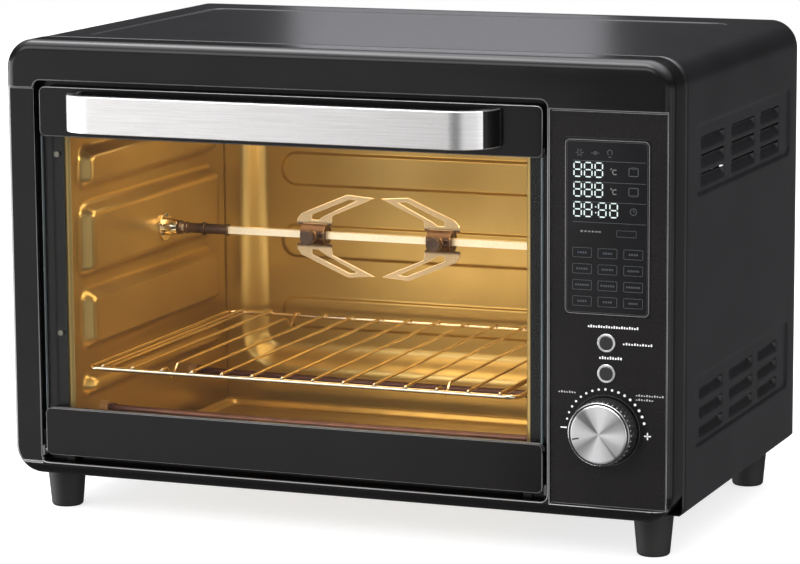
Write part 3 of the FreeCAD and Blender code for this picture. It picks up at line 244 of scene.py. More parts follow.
# brighter steel for the forks' rounded edges: painted highlight lines
FORK_PAINTED_EDGE_HIGHLIGHT = finish("fork_painted_edge_highlight", (0.82, 0.66, 0.44), (0.88, 0.72, 0.5), (0.2, 0.26),
                   metallic=0.8, patch=20, grain=1500, hub=(0.0105, (0.2, 0.12, 0.07)))
SPIT_STEEL = finish("spit_steel", (0.86, 0.74, 0.56), (0.92, 0.8, 0.62), (0.26, 0.34), metallic=0.7,
                    patch=20, grain=1500, bump=1e-6)
# a lighter black for rounded edges: painted highlight lines along them
PAINTED_EDGE_HIGHLIGHT = finish("painted_edge_highlight_black", (0.088, 0.086, 0.09), (0.104, 0.102, 0.106), (0.16, 0.22),
                    specular=0.9)
SCREW_STEEL = finish("dull_screw", (0.16, 0.15, 0.13), (0.24, 0.22, 0.19), (0.3, 0.4), metallic=0.9,
                     patch=200, bump=3e-6)
GLASS_EDGE = finish("ground_glass_edge", (0.085, 0.105, 0.11), (0.11, 0.135, 0.14), (0.3, 0.45),
                    specular=0.5, bump=4e-6)
BRACKET_STEEL = finish("dark_bracket", grey(0.1), grey(0.15), (0.35, 0.5), metallic=0.8, patch=90,
                       bump=3e-6)
# polished metal for the knob's rim ring, made bright to stand in for the rim's highlight: partly painted
# highlight
RIM_STEEL_AND_PAINTED_HIGHLIGHT = finish("polished_rim_and_painted_highlight", grey(0.4), grey(0.46), (0.22, 0.3), metallic=1.0, grain=1500)
NOTCH_GREY = finish("grip_notches", grey(0.34), grey(0.42), (0.35, 0.45), grain=3000)
LINE_PRINT = finish("line_print", (0.115, 0.11, 0.107), (0.15, 0.145, 0.14), (0.3, 0.4), grain=3000)
WHITE_PRINT = ink("white_print", grey(0.62), grey(0.74))
SOFT_PRINT = ink("soft_print", grey(0.26), grey(0.34))
DIM_PRINT = ink("dim_print", (0.03, 0.033, 0.034), (0.042, 0.045, 0.047))
BLUE_PRINT = ink("blue_print", (0.03, 0.036, 0.052), (0.042, 0.05, 0.07))
LIT_PRINT = ink("lit_segments", (0.26, 0.3, 0.29), (0.3, 0.34, 0.33), glow=(0.66, 0.8, 0.77),
                glow_strength=0.56)


# ------ mesh helpers

SHARP = 32  # degrees: edges sharper than this stay edges


def piece(name, mesh, body, slot, material=None, replaces=(), sharp=SHARP):
    """A finished mesh, smooth but for its sharp edges, as an object that rides on a CAD body."""
    mesh.polygons.foreach_set("use_smooth", [True] * len(mesh.polygons))
    mesh.set_sharp_from_angle(angle=math.radians(sharp))
    obj = bpy.data.objects.new(name, mesh)
    bpy.context.scene.collection.objects.link(obj)
    mesh.materials.clear()
    mesh.materials.append(material or MATERIALS[slot])
    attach(obj, body)
    if replaces:
        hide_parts(*replaces)
    return obj


def solid(obj, thickness):
    """Gives a sheet its thickness."""
    thick = obj.modifiers.new("gauge", "SOLIDIFY")
    thick.thickness = thickness
    thick.offset = -1.0
    thick.use_even_offset = True


def pressed(node, mesh, slot="cavity_gold", body="housing", gauge=GAUGE, sharp=50):
    """Pressed sheet metal in place of a CAD node."""
    solid(piece(node + "_fine", mesh, body, slot, None, [node], sharp), gauge)


def refined(node, slot, width, segments=2, body="housing", material=None, edge=None, plain=None, rim=False):
    """A copy of a CAD node with its flat faces joined and its edges rounded, to catch the light.
    edge is the edges' material, a lighter one that paints highlight lines along them, and plain says, by an
    edge's middle, which edges stay sharp.
    With rim, the rounding that the node already has round its front face takes edge too, and with it the
    painted highlight."""
    work = bmesh.new()
    work.from_mesh(NODES[node].data)
    bmesh.ops.remove_doubles(work, verts=work.verts, dist=2e-6)
    bmesh.ops.dissolve_limit(work, angle_limit=math.radians(0.4), verts=work.verts, edges=work.edges)
    bmesh.ops.recalc_face_normals(work, faces=work.faces)
    if plain is not None:
        weight = work.edges.layers.float.new("bevel_weight_edge")
        for line in work.edges:
            middle = (line.verts[0].co + line.verts[1].co) / 2
            corner = len(line.link_faces) == 2 and line.calc_face_angle() > math.radians(SHARP)
            line[weight] = 1.0 if corner and not plain(middle) else 0.0
    mesh = bpy.data.meshes.new(node + "_fine")
    work.to_mesh(mesh)
    work.free()
    for layer in list(mesh.attributes):
        if layer.name == "custom_normal":
            mesh.attributes.remove(layer)
    obj = piece(node + "_fine", mesh, body, slot, material, [node])
    bevel = obj.modifiers.new("rounded_edges", "BEVEL")
    bevel.width = width
    bevel.segments = segments
    bevel.limit_method = "ANGLE" if plain is None else "WEIGHT"
    bevel.angle_limit = math.radians(SHARP)
    bevel.harden_normals = True
    bevel.use_clamp_overlap = edge is None
    # the edge material paints highlight lines along the rounded edges
    if edge is not None:
        mesh.materials.append(edge)
        bevel.material = 1
    if rim:
        for face in mesh.polygons:
            if -0.97 < face.normal.y < -0.15:
                face.material_index = 1


def mesh_of(name, verts, faces):
    mesh = bpy.data.meshes.new(name)
    mesh.from_pydata(verts, [], faces)
    mesh.validate()
    mesh.update()
    return mesh


def joined(name, parts):
    """Several (verts, faces) shells as one mesh."""
    verts, faces = [], []
    for more, polygons in parts:
        faces += [tuple(i + len(verts) for i in face) for face in polygons]
        verts += [tuple(v) for v in more]
    return mesh_of(name, verts, faces)


def skinned(stations, across, sides):
    """A closed skin over rings of points; a station is (centre, axis, radius): (verts, faces)."""
    verts, faces = [], []
    for centre, axis, radius in stations:
        across = (across - axis * across.dot(axis)).normalized()
        other = axis.cross(across)
        for s in range(sides):
            a = 2 * math.pi * s / sides
            verts.append(centre + (across * math.cos(a) + other * math.sin(a)) * radius)
    for i in range(0, len(verts) - sides, sides):
        for s in range(sides):
            n = (s + 1) % sides
            faces.append((i + s, i + n, i + sides + n, i + sides + s))
    faces.append(tuple(reversed(range(sides))))
    faces.append(tuple(range(len(verts) - sides, len(verts))))
    return verts, faces


def tube(path, radius, sides=14, rounded=True):
    """A round bar along points, with hemispherical or flat ends: (verts, faces)."""
    path = [Vector(p) for p in path]
    padded = [path[0], *path, path[-1]]
    tangents = [(ahead - back).normalized() for back, ahead in zip(padded, padded[2:])]
    stations = [(p, t, radius) for p, t in zip(path, tangents)]
    if rounded:
        rings = 3
        for k in range(1, rings + 1):
            turn = math.pi / 2 * k / rings
            reach, size = radius * math.sin(turn), max(radius * math.cos(turn), radius * 0.04)
            stations.insert(0, (path[0] - tangents[0] * reach, tangents[0], size))
            stations.append((path[-1] + tangents[-1] * reach, tangents[-1], size))
    return skinned(stations, tangents[0].orthogonal().normalized(), sides)


def lathe(profile, centre, axis, sides=96):
    """Turns (radius, distance along the axis) points about an axis: (verts, faces)."""
    axis = Vector(axis)
    stations = [(Vector(centre) + axis * along, axis, radius) for radius, along in profile]
    return skinned(stations, axis.orthogonal().normalized(), sides)


def prism(near, far, flip=False):
    """A solid between two outlines with the same number of points: (verts, faces)."""
    count = len(near)
    faces = [tuple(range(count)), tuple(reversed(range(count, 2 * count)))]
    faces += [(i, i + count, (i + 1) % count + count, (i + 1) % count) for i in range(count)]
    return near + far, [face[::-1] if flip else face for face in faces]


def box(xs, ys, zs):
    """A box between two values on each axis: (verts, faces)."""
    return [(x, y, z) for z in zs for y in ys for x in xs], BOX_FACES


def middle_of(node):
    low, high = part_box(node)
    return (low + high) / 2


def grid_lines(low, high, step, features=(), reach=0.004, fine=0.0008):
    """Evenly spaced lines from low to high, closer together near the features."""
    lines = set(np.round(np.linspace(low, high, max(2, int(round((high - low) / step)) + 1)), 6))
    for feature in features:
        near = np.arange(feature - reach, feature + reach + fine / 2, fine)
        lines |= {round(float(v), 6) for v in near if low < v < high}
    ordered = sorted(lines)
    kept = [ordered[0]]
    for value in ordered[1:]:
        if value - kept[-1] > fine * 0.45:
            kept.append(value)
    kept[-1] = ordered[-1]
    return np.array(kept)


def rounded_distance(u, v, low, high, radius):
    """Distance outside (+) or inside (-) a rounded rectangle from low to high."""
    cu, cv = (low[0] + high[0]) / 2, (low[1] + high[1]) / 2
    du = np.abs(u - cu) - (high[0] - low[0]) / 2 + radius
    dv = np.abs(v - cv) - (high[1] - low[1]) / 2 + radius
    outside = np.hypot(np.maximum(du, 0), np.maximum(dv, 0))
    return outside + np.minimum(np.maximum(du, dv), 0) - radius


def ease(value):
    """Runs smoothly from 0 to 1."""
    value = np.clip(value, 0, 1)
    return value * value * (3 - 2 * value)


def sheet_mesh(name, us, vs, place, keep=None):
    """A grid of quads: place(u, v) gives the points, keep(u, v) says which quads stay."""
    points = np.stack(place(*np.meshgrid(us, vs, indexing="ij")), axis=-1).reshape(-1, 3)
    index = np.arange(len(us) * len(vs)).reshape(len(us), len(vs))
    quads = np.stack([index[:-1, :-1], index[1:, :-1], index[1:, 1:], index[:-1, 1:]], axis=-1)
    if keep is not None:
        middles = (us[:-1] + us[1:]) / 2, (vs[:-1] + vs[1:]) / 2
        quads = quads[keep(*np.meshgrid(*middles, indexing="ij"))]
    quads = quads.reshape(-1, 4)
    used = np.unique(quads)
    renumber = np.full(len(points), -1)
    renumber[used] = np.arange(len(used))
    return mesh_of(name, points[used].tolist(), renumber[quads].tolist())


def outside_holes(holes):
    """A keep function for sheet_mesh: False inside any of the (u, v, radius) holes."""
    def keep(u, v):
        return np.all([np.hypot(u - at_u, v - at_v) >= radius for at_u, at_v, radius in holes], axis=0)
    return keep


# ------ flat work on the panel, in millimetres

def bar(x0, z0, x1, z1, width):
    """A straight stroke from one point to another."""
    a, b = Vector((x0, z0)), Vector((x1, z1))
    along = (b - a).normalized()
    side = Vector((-along.y, along.x)) * width / 2
    return [[a - side, b - side, b + side, a + side]]


def on_circle(x, z, radius, degrees):
    a = math.radians(degrees)
    return Vector((x + radius * math.cos(a), z + radius * math.sin(a)))


def spoke(x, z, near, far, degrees, width):
    """A stroke that points away from a centre."""
    return bar(*on_circle(x, z, near, degrees), *on_circle(x, z, far, degrees), width)


def arc(x, z, radius, width, start=0, end=360, steps=36):
    """A ring or a part of one, as a run of short strokes."""
    inner, outer = radius - width / 2, radius + width / 2
    span = (end - start) / steps
    return [[on_circle(x, z, size, start + span * turn)
             for turn, size in ((i, inner), (i, outer), (i + 1, outer), (i + 1, inner))]
            for i in range(steps)]


def disc(x, z, radius, steps=20):
    return [[on_circle(x, z, radius, 360 * i / steps) for i in range(steps)]]


def outline(x0, z0, x1, z1, width, radius):
    """A rectangle's outline with rounded corners."""
    left, right, low, high = x0 + radius, x1 - radius, z0 + radius, z1 - radius
    made = []
    for z in (z0, z1):
        made += bar(left, z, right, z, width)
    for x in (x0, x1):
        made += bar(x, low, x, high, width)
    for x, z, start in ((right, high, 0), (left, high, 90), (left, low, 180), (right, low, 270)):
        made += arc(x, z, radius, width, start, start + 90, 8)
    return made


def raised(name, shapes, back, front, body, slot, material):
    """Flat shapes as thin solids between two depths behind the frame's face, in millimetres."""
    parts = []
    for shape in shapes:
        area = sum(a.x * b.y - b.x * a.y for a, b in zip(shape, shape[1:] + shape[:1]))
        ordered = shape if area > 0 else shape[::-1]
        parts.append(prism(*([(p.x * MM, FACE + depth * MM, p.y * MM) for p in ordered]
                             for depth in (front, back))))
    piece(name, joined(name, parts), body, slot, material)


# ------ cabinet

COVER_LOW, COVER_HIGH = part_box("cabinet_cover")
LOUVRE_ROWS = [0.332, 0.317, 0.302, 0.129, 0.113, 0.097]
LOUVRE_FIELDS = [(0.288, 0.345), (0.084, 0.142)]
LOUVRE_COLUMNS = [(0.08, 0.148), (0.166, 0.237), (0.252, 0.312)]
COVER_RADIUS = 0.0228
COVER_LIP = 0.022
TOP_RING = ((-0.24, 0.057), (0.24, 0.32))


def cover_path(side, low, top, radius, lip):
    """The cover's outline seen from the front, as (x, z, outward x, outward z) by distance along it."""
    points = []
    for x in np.linspace(-side + lip, -side + 0.002, 8):
        points.append((x, low, 0, -1))
    marks = [row + offset for row in LOUVRE_ROWS for offset in (-0.009, -0.001, 0.002)]
    marks += [edge for field in LOUVRE_FIELDS for edge in field]
    for z in grid_lines(low + 0.002, top - radius, 0.006, marks, 0.0035, 0.0009):
        points.append((-side, z, -1, 0))
    for a in np.linspace(math.pi, math.pi / 2, 17)[1:]:
        points.append((-side + radius + radius * math.cos(a), top - radius + radius * math.sin(a),
                       math.cos(a), math.sin(a)))
    half = grid_lines(-side + radius, 0, 0.012, [-0.24], 0.005, 0.0008)[1:]
    points += [(x, top, 0, 1) for x in half]
    mirrored = [(-x, z, -nx, nz) for x, z, nx, nz in reversed(points[:-1])]
    return np.array(points + mirrored)


def groove(distance, width, depth):
    """A soft-edged groove where the distance is near zero."""
    return -depth * (1 - ease(np.abs(distance) / width))


def cover_relief(x, z, nx, nz, depth):
    """How far the sheet is pressed in at each point of the cover."""
    side_share = np.where(np.abs(nx) > 0.99, 1.0, 0.0)
    top_share = np.where(nz > 0.99, 1.0, 0.0)
    ring = rounded_distance(x, depth, *TOP_RING, 0.012)
    relief = top_share * (groove(ring, 0.0026, 0.0011) - 0.0007 * ease(-ring / 0.003))
    for low, high in LOUVRE_FIELDS:
        field = rounded_distance(depth, z, (0.064, low), (0.341, high), 0.008)
        relief += side_share * -0.0016 * ease((0.0012 - field) / 0.0035)
    for row in LOUVRE_ROWS:
        for near, far in LOUVRE_COLUMNS:
            ends = ease((depth - near) / 0.004) * ease((far - depth) / 0.004)
            climb = ease((z - row + 0.0095) / 0.0085) * (z < row + 0.0004)
            relief += side_share * -0.0036 * ends * climb
    return relief


def cover_keep(x, z, nx, depth):
    """False in the open mouth of each louvre."""
    open_mouth = np.zeros(x.shape, bool)
    for row in LOUVRE_ROWS:
        for near, far in LOUVRE_COLUMNS:
            open_mouth |= ((np.abs(nx) > 0.99) & (z > row - 0.0002) & (z < row + 0.0022)
                           & (depth > near + 0.002) & (depth < far - 0.002))
    return ~open_mouth


def make_cover():
    side, low, top = COVER_HIGH.x, COVER_LOW.z, COVER_HIGH.z
    path = cover_path(side, low, top, COVER_RADIUS, COVER_LIP)
    marks = [0.057, 0.32, 0.064, 0.341] + [d for pair in LOUVRE_COLUMNS for d in pair]
    depths = grid_lines(COVER_LOW.y - FACE, COVER_HIGH.y - FACE, 0.01, marks, 0.005, 0.001)
    steps = np.arange(len(path)).astype(float)

    def place(u, v):
        rows = path[u.astype(int)]
        x, z, nx, nz = (rows[..., k] for k in range(4))
        relief = cover_relief(x, z, nx, nz, v)
        return x + nx * relief, v + FACE, z + nz * relief

    def keep(u, v):
        middle = (path[np.floor(u).astype(int)] + path[np.ceil(u).astype(int)]) / 2
        return cover_keep(middle[..., 0], middle[..., 1], middle[..., 2], v)

    mesh = sheet_mesh("cabinet_cover_fine", steps, depths, place, keep)
    mesh.flip_normals()
    pressed("cabinet_cover", mesh, "cover_black", sharp=40)


# ------ cooking cavity

RIB_REACH = 0.011
RIBS = [(0.096, 0.118), (0.137, 0.189), (0.198, 0.262), (0.273, 0.31)]
RIB_DEPTHS = (0.028, 0.296)
RIGHT_RIB_START = 0.05
RIB_BEVEL = 0.0085
FLANGE = 0.007


def make_side_wall(node, inward):
    """A pressed side wall with rounded ribs; its front edge turns out behind the front plate."""
    low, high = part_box(node)
    face = (high.x if inward > 0 else low.x) - RIB_REACH * inward
    depth_low, depth_high = low.y - FACE, high.y - FACE
    start = RIB_DEPTHS[0] if inward > 0 else RIGHT_RIB_START
    holes = [(0.172, 0.2235, 0.0066 if inward > 0 else 0.0041)]
    if inward < 0:
        holes += [(0.06, 0.328, 0.012), (0.3, 0.325, 0.0022)]
    depths = grid_lines(depth_low, depth_high, 0.0035, [h[0] for h in holes], 0.014, 0.001)
    heights = grid_lines(low.z, high.z, 0.003, [h[1] for h in holes], 0.014, 0.001)

    def place(u, v):
        rise = np.zeros(u.shape)
        for bottom, top in RIBS:
            gap = rounded_distance(u, v, (start, bottom), (RIB_DEPTHS[1], top), 0.01)
            rise = np.maximum(rise, RIB_REACH * ease(-gap / RIB_BEVEL))
        rise = rise - FLANGE * ease(1 - (u - depth_low) / 0.004)
        return face + inward * rise, u + FACE, v

    mesh = sheet_mesh(node + "_fine", depths, heights, place, outside_holes(holes))
    if inward < 0:
        mesh.flip_normals()
    pressed(node, mesh)


def make_back_wall():
    """The rear sheet: one rounded dish, with three long beads pressed forward in its floor."""
    low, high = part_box("cavity_back_wall")
    dish_low, dish_high = (-0.224, 0.07), (0.15, 0.33)
    left, right = -0.186, 0.112
    beads = [(0.11, 0.137), (0.175, 0.204), (0.241, 0.27)]

    def place(u, v):
        gap = rounded_distance(u, v, dish_low, dish_high, 0.034)
        sink = 0.0135 * ease(-gap / 0.024)
        for bottom, top in beads:
            field = rounded_distance(u, v, (left, bottom), (right, top), (top - bottom) / 2 - 0.0005)
            sink = sink - 0.0024 * ease((0.0014 - field) / 0.0028)
        return u, low.y + sink, v

    xs = grid_lines(low.x, high.x, 0.003, [left, right], 0.018, 0.0012)
    zs = grid_lines(low.z, high.z, 0.003, [edge for bead in beads for edge in bead], 0.003, 0.0008)
    pressed("cavity_back_wall", sheet_mesh("cavity_back_wall_fine", xs, zs, place))


def make_roof_and_floor():
    """Roof and floor sheets, with a shallow raised field on each and the fan's opening in the roof."""
    for node, sign, fan in (("cavity_roof", 1, 0.048), ("cavity_floor", -1, None)):
        low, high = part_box(node)
        face = low.z if sign > 0 else high.z
        middle = ((low.x + high.x) / 2, 0.172 + FACE)

        def place(u, v):
            gap = rounded_distance(u, v, (low.x + 0.03, low.y + 0.025), (high.x - 0.03, high.y - 0.02), 0.02)
            return u, v, face + sign * 0.0035 * ease(-gap / 0.009)

        xs = grid_lines(low.x, high.x, 0.005, [middle[0]] if fan else (), 0.05, 0.002)
        ys = grid_lines(low.y, high.y, 0.005, [middle[1]] if fan else (), 0.05, 0.002)
        keep = outside_holes([(*middle, fan)]) if fan else None
        mesh = sheet_mesh(node + "_fine", xs, ys, place, keep)
        if sign > 0:
            mesh.flip_normals()
        pressed(node, mesh)


def make_heaters():
    """Sheathed heating rods with a small collar at each end."""
    for name in ("heater_lower_front", "heater_lower_rear", "heater_upper_front", "heater_upper_rear"):
        low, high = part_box(name)
        middle = middle_of(name)
        radius = (high.z - low.z) / 2
        count = 42
        xs = np.linspace(low.x + radius, high.x - radius, count)
        path = [(x, middle.y, middle.z - 0.0012 * math.sin(math.pi * i / (count - 1)))
                for i, x in enumerate(xs)]
        parts = [tube(path, radius - 0.0002, 20)]
        collar = [(radius, -0.0015), (radius + 0.0011, -0.0012), (radius + 0.0011, 0.0012), (radius, 0.0015)]
        for x in (low.x + 0.01, high.x - 0.01):
            parts.append(lathe(collar, (x, middle.y, middle.z), (1, 0, 0), 28))
        piece(name + "_fine", joined(name, parts), "housing", "heater_tube", None, [name], 45)


# ------ rack, tray, spit

def make_rack():
    """A welded wire grid: rails with turned corners, cross wires with ball ends, and four stop dips."""
    low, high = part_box("wire_rack")
    rail = 0.002
    left, right = low.x + rail, high.x - rail
    front, back = low.y + rail, high.y - rail
    z = low.z + rail
    turn = 0.01
    loop = []
    for x, y, start in ((right - turn, front + turn, -90), (right - turn, back - turn, 0),
                        (left + turn, back - turn, 90), (left + turn, front + turn, 180)):
        for k in range(7):
            a = math.radians(start + 15 * k)
            loop.append((x + turn * math.cos(a), y + turn * math.sin(a), z))
    loop.append(loop[0])
    parts = [tube(loop, rail, 14, False)]
    for inner in (left + 0.016, right - 0.016):
        parts.append(tube([(inner, front, z), (inner, back, z)], 0.0014, 10))
    wire, wire_z = 0.0012, high.z - 0.0012
    ball = [(0.0004, -0.0019), (0.0014, -0.0013), (0.0018, 0.0), (0.0014, 0.0013), (0.0004, 0.0019)]
    for index in range(14):
        x = left + (right - left) * (index + 0.55) / 14.1
        path = []
        for y in np.linspace(front - 0.0004, back + 0.0004, 60):
            dip = 0.0
            if index in (2, 11):
                for middle in (front + 0.02, back - 0.02):
                    dip += 0.01 * max(0.0, 1 - abs(y - middle) / 0.01)
            path.append((x, y, wire_z - dip))
        parts.append(tube(path, wire, 10))
        for y in (front, back):
            parts.append(lathe(ball, (x, y, wire_z - 0.0006), (0, 0, 1), 14))
    piece("wire_rack_fine", joined("wire_rack", parts), "rack", "bright_steel", None, ["wire_rack"], 60)


def make_tray():
    """A shallow pressed tray with sloping sides, and the black strip and lip along its front."""
    node = "crumb_tray"
    low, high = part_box(node)
    rim, slope, step = 0.0004, 0.0035, 0.03

    def place(u, v):
        gap = rounded_distance(u, v, (low.x + rim, low.y + rim), (high.x - rim, high.y - rim), 0.012)
        wall = ease(1 + gap / 0.007)
        field = rounded_distance(u, v, (low.x + step, low.y + step), (high.x - step, high.y - step), 0.02)
        return u, v, low.z + 0.0008 + (high.z - low.z - 0.001) * wall + 0.0012 * ease(-field / 0.008)

    xs = grid_lines(low.x, high.x, 0.005, [low.x + slope, high.x - slope], 0.006, 0.001)
    ys = grid_lines(low.y, high.y, 0.005, [low.y + slope, high.y - slope], 0.006, 0.001)
    pressed(node, sheet_mesh(node + "_fine", xs, ys, place), body="tray", gauge=0.7 * MM)
    left, right = low.x - 0.0095, high.x + 0.0095
    lip_z = high.z + 0.003
    front = sheet_mesh("crumb_tray_front", np.linspace(left, right, 60),
                       np.linspace(low.z + 0.0008, lip_z - 0.0008, 8),
                       lambda u, v: (u, low.y - 0.0004 + 0 * u, v))
    solid(piece("crumb_tray_front", front, "tray", "trim_black", None, (), 50), 0.3 * MM)
    lip = tube([(x, low.y + 0.0011, lip_z) for x in (left, right)], 0.0013, 12)
    piece("crumb_tray_lip", joined("crumb_tray_lip", [lip]), "tray", "trim_black", None, (), 50)


def make_rotisserie():
    refined("spit_rod", "bright_steel", 0.0005, body="spit", material=SPIT_STEEL)
    for side, body in (("left", "left_fork"), ("right", "right_fork")):
        refined("fork_" + side, "bright_steel", 0.0005, body=body, material=FORK_GOLD, edge=FORK_PAINTED_EDGE_HIGHLIGHT)
        refined("thumbscrew_" + side, "zinc_steel", 0.0004, body=body, material=DARK_STEEL)
    middle = middle_of("spit_rod")
    edge = 0.0004
    rings = []
    for x, length, radius in ((-0.2115, 0.004, 0.0062), (-0.205, 0.003, 0.0052), (-0.1885, 0.003, 0.0056),
                              (-0.166, 0.0025, 0.0052)):
        rim = [(radius - edge, 0), (radius, edge), (radius, length - edge), (radius - edge, length)]
        rings.append((x - length / 2, [(0.003, 0), *rim, (0.003, length)]))
    for start, end in ((-0.204, -0.1895), (-0.187, -0.1668)):
        length = end - start
        rings.append((start, [(0.0034, 0), (0.0044, edge), (0.0044, length - edge), (0.0034, length)]))
    collars = [lathe(profile, (x, middle.y, middle.z), (1, 0, 0), 36) for x, profile in rings]
    piece("spit_dark_end", joined("spit_dark_end", collars), "spit", "zinc_steel", DARK_STEEL, (), 40)
    refined("spit_bearing", "bright_steel", 0.0004)
    refined("drive_socket", "zinc_steel", 0.0005, body="drive_socket")


# ------ front: frame, door, handle

def make_front():
    knob = middle_of("knob_body")
    margin = 1 * MM

    def unlit(middle):
        by_knob = math.hypot(middle.x - knob.x, middle.z - knob.z) < 0.032
        by_window = (WINDOW_LOW.x - margin < middle.x < WINDOW_HIGH.x + margin
                     and WINDOW_LOW.z - margin < middle.z < WINDOW_HIGH.z + margin)
        return by_knob or by_window

    # the rounded edges take a lighter black: painted highlight lines
    glossy = {"segments": 3, "edge": PAINTED_EDGE_HIGHLIGHT}
    refined("front_frame", "frame_black", 0.001, **glossy)
    refined("door_top_rail", "trim_black", 0.0011, body="door", rim=True, **glossy)
    refined("door_bottom_trim", "trim_black", 0.0011, body="door", rim=True, **glossy)
    refined("control_panel", "panel_black", 0.0009, plain=unlit, **glossy)
    refined("display_window", "display", 0.0003)
    refined("cavity_front_plate", "frame_black", 0.0004)
    refined("handle_body", "trim_black", 0.001, body="door", **glossy)
    refined("handle_plate", "handle_steel", 0.0004, 3, body="door")
    refined("button_bezels", "knob_metal", 0.0003)
    for button in ("lamp_button", "start_button"):
        refined(button, "knob_black", 0.0005, 3, body=button)


def make_sill_corners():
    """Two small blocks that close the gap beside the tray, under the door."""
    front, back, inside = FACE + 0.01, FACE + 0.0118, FACE + 0.0175
    bottom, top, chamfer = 0.0405, 0.0555, 0.001
    tray_low, tray_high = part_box("crumb_tray")
    parts = []
    for low, high in ((-0.2445, tray_low.x - 0.0102), (tray_high.x + 0.0102, 0.1705)):
        shoulder = top - 0.0015
        points = [(low, bottom), (high, bottom), (high, shoulder), (high - chamfer, top),
                  (low + chamfer, top), (low, shoulder)]
        parts.append(prism(*([(x, y, z) for x, z in points] for y in (front, back))))
        inner = (high, high - 0.6 * MM) if high < 0 else (low + 0.6 * MM, low)
        parts.append(box(inner, (back, inside), (bottom, shoulder)))
    piece("sill_corners", joined("sill_corners", parts), "housing", "frame_black")


def make_door_glass():
    """Float glass with a ground edge down each side."""
    low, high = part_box("door_glass")
    refined("door_glass", "door_glass", 0.0004, body="door")
    bottom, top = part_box("door_bottom_trim")[1].z + 0.0003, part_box("door_top_rail")[0].z - 0.0003
    strips = []
    for outer, inner in ((low.x + 0.00005, low.x + 0.0004), (high.x - 0.00005, high.x - 0.0014)):
        section = [(inner, 0.0036), (outer, 0.0036), (outer, 0.0012),
                   (inner * 0.4 + outer * 0.6, 0.00035), (inner, 0.0003)]
        if outer < inner:
            section.reverse()
        strips.append(prism(*([(x, low.y + y, z) for x, y in section] for z in (bottom, top)), True))
    piece("door_glass_edges", joined("door_glass_edges", strips), "door", "door_glass", GLASS_EDGE)


# ------ display and printed marks, in millimetres

WINDOW_LOW, WINDOW_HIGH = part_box("display_window")
LENS = (WINDOW_LOW.y - FACE) / MM
PANEL_FACE = 2.5
PRINT = 0.12  # how far print stands proud
KNOB_X, KNOB_Z = 235.2, 107.8
DOTS = 17
DOT_CIRCLE = 32.8
NOTCHES = 38


def digit(x, z, width=6.1, height=11.2, stroke=1.0):
    """Seven pointed segments of a figure eight; x, z is its lower left corner."""
    made = []
    inset = stroke * 1.15

    def segment(x0, z0, x1, z1):
        along = Vector((x1 - x0, z1 - z0)).normalized()
        side = Vector((-along.y, along.x)) * stroke / 2
        a = Vector((x0, z0)) + along * inset
        b = Vector((x1, z1)) - along * inset
        nib = along * stroke / 2
        return [a - nib * 0.9, a - side, b - side, b + nib * 0.9, b + side, a + side]

    half = height / 2
    for row in (0, half, height):
        made.append(segment(x, z + row, x + width, z + row))
    for column in (0, width):
        for row in (0, half):
            made.append(segment(x + column, z + row, x + column, z + row + half))
    return made


def make_display():
    """The lit digits and dim icons behind the window, placed from its upper left corner."""
    corner = Vector((WINDOW_LOW.x, WINDOW_HIGH.z)) / MM
    width, height = (WINDOW_HIGH.x - WINDOW_LOW.x) / MM, (WINDOW_HIGH.z - WINDOW_LOW.z) / MM

    def show(name, shapes, material):
        placed = [[p + corner for p in shape] for shape in shapes]
        raised(name, placed, LENS, LENS - PRINT, "housing", "display", material)

    left, right, low, high = 0.6, width - 1.6, 0.8 - height, -2.0
    show("display_outline", outline(left, low, right, high, 0.45, 4.0), LINE_PRINT)
    show("display_border", outline(left + 1.3, low + 1.3, right - 1.3, high - 1.3, 0.3, 3.0), DIM_PRINT)
    rows = [-31.1, -46.7, -62.5]
    lit = []
    for row in rows[:2]:
        for column in range(3):
            lit += digit(7.7 + 8.7 * column, row)
    for x in (7.7, 16.3, 28.0, 37.4):
        lit += digit(x, rows[2])
    for z in (3.3, 7.9):
        lit += disc(25.7, rows[2] + z, 0.55)
    show("display_digits", lit, LIT_PRINT)
    pale = []
    for row in rows[:2]:
        pale += arc(38.3, row + 6.6, 0.6, 0.35, steps=14) + arc(41.4, row + 4.4, 1.9, 0.65, 50, 310, 16)
    for index, x in enumerate((13.2, 16.4, 19.4, 22.4, 25.4, 28.0)):
        pale += bar(x, -74.3, x + 2.0, -74.3, 1.5 if index == 0 else 1.1)
    show("display_units", pale, LINE_PRINT)
    dim = []
    for z in (-18.5, -35.1, -50.8, -67.0):
        dim += bar(6.7, z, 66.7, z, 0.42)
    for row in rows[:2]:
        dim += outline(52.8, row + 1.8, 60.4, row + 8.0, 0.7, 0.8)
    for z in (rows[0] + 8.0, rows[1] + 1.8):
        dim += bar(55.0, z, 58.2, z, 1.6)
    x, z = 56.6, rows[2] + 5.2
    dim += arc(x, z, 2.6, 0.6, steps=20) + bar(x, z, x, z + 1.8, 0.5) + bar(x, z, x + 1.4, z, 0.5)
    z = -12.2
    for turn in range(6):
        dim += spoke(12.3, z, 1.0, 3.2, 60 * turn, 0.7)
    dim += bar(21.8, z, 28.6, z, 0.6) + disc(25.2, z, 1.5)
    dim += arc(37.2, z + 0.8, 2.0, 0.6, -60, 240, 16) + bar(36.0, z - 2.8, 38.4, z - 2.8, 0.6)
    dim += outline(43.0, -77.6, 59.0, -72.6, 0.4, 0.6)
    keys, blue = [], []
    for column in (6.7, 27.7, 48.9):
        for row in range(4):
            z = -95.0 - 12.9 * row
            keys += outline(column, z, column + 15.6, z + 7.6, 0.4, 0.8)
            letters = 4 + (row + int(column)) % 3
            marks = blue if row == 0 and column < 40 else keys
            for letter in range(letters):
                x = column + 7.8 + (letter - (letters - 1) / 2) * 2.0
                marks += bar(x - 0.65, z + 3.8, x + 0.65, z + 3.8, 1.5)
    show("display_icons", dim + keys, DIM_PRINT)
    show("display_key_names", blue, BLUE_PRINT)


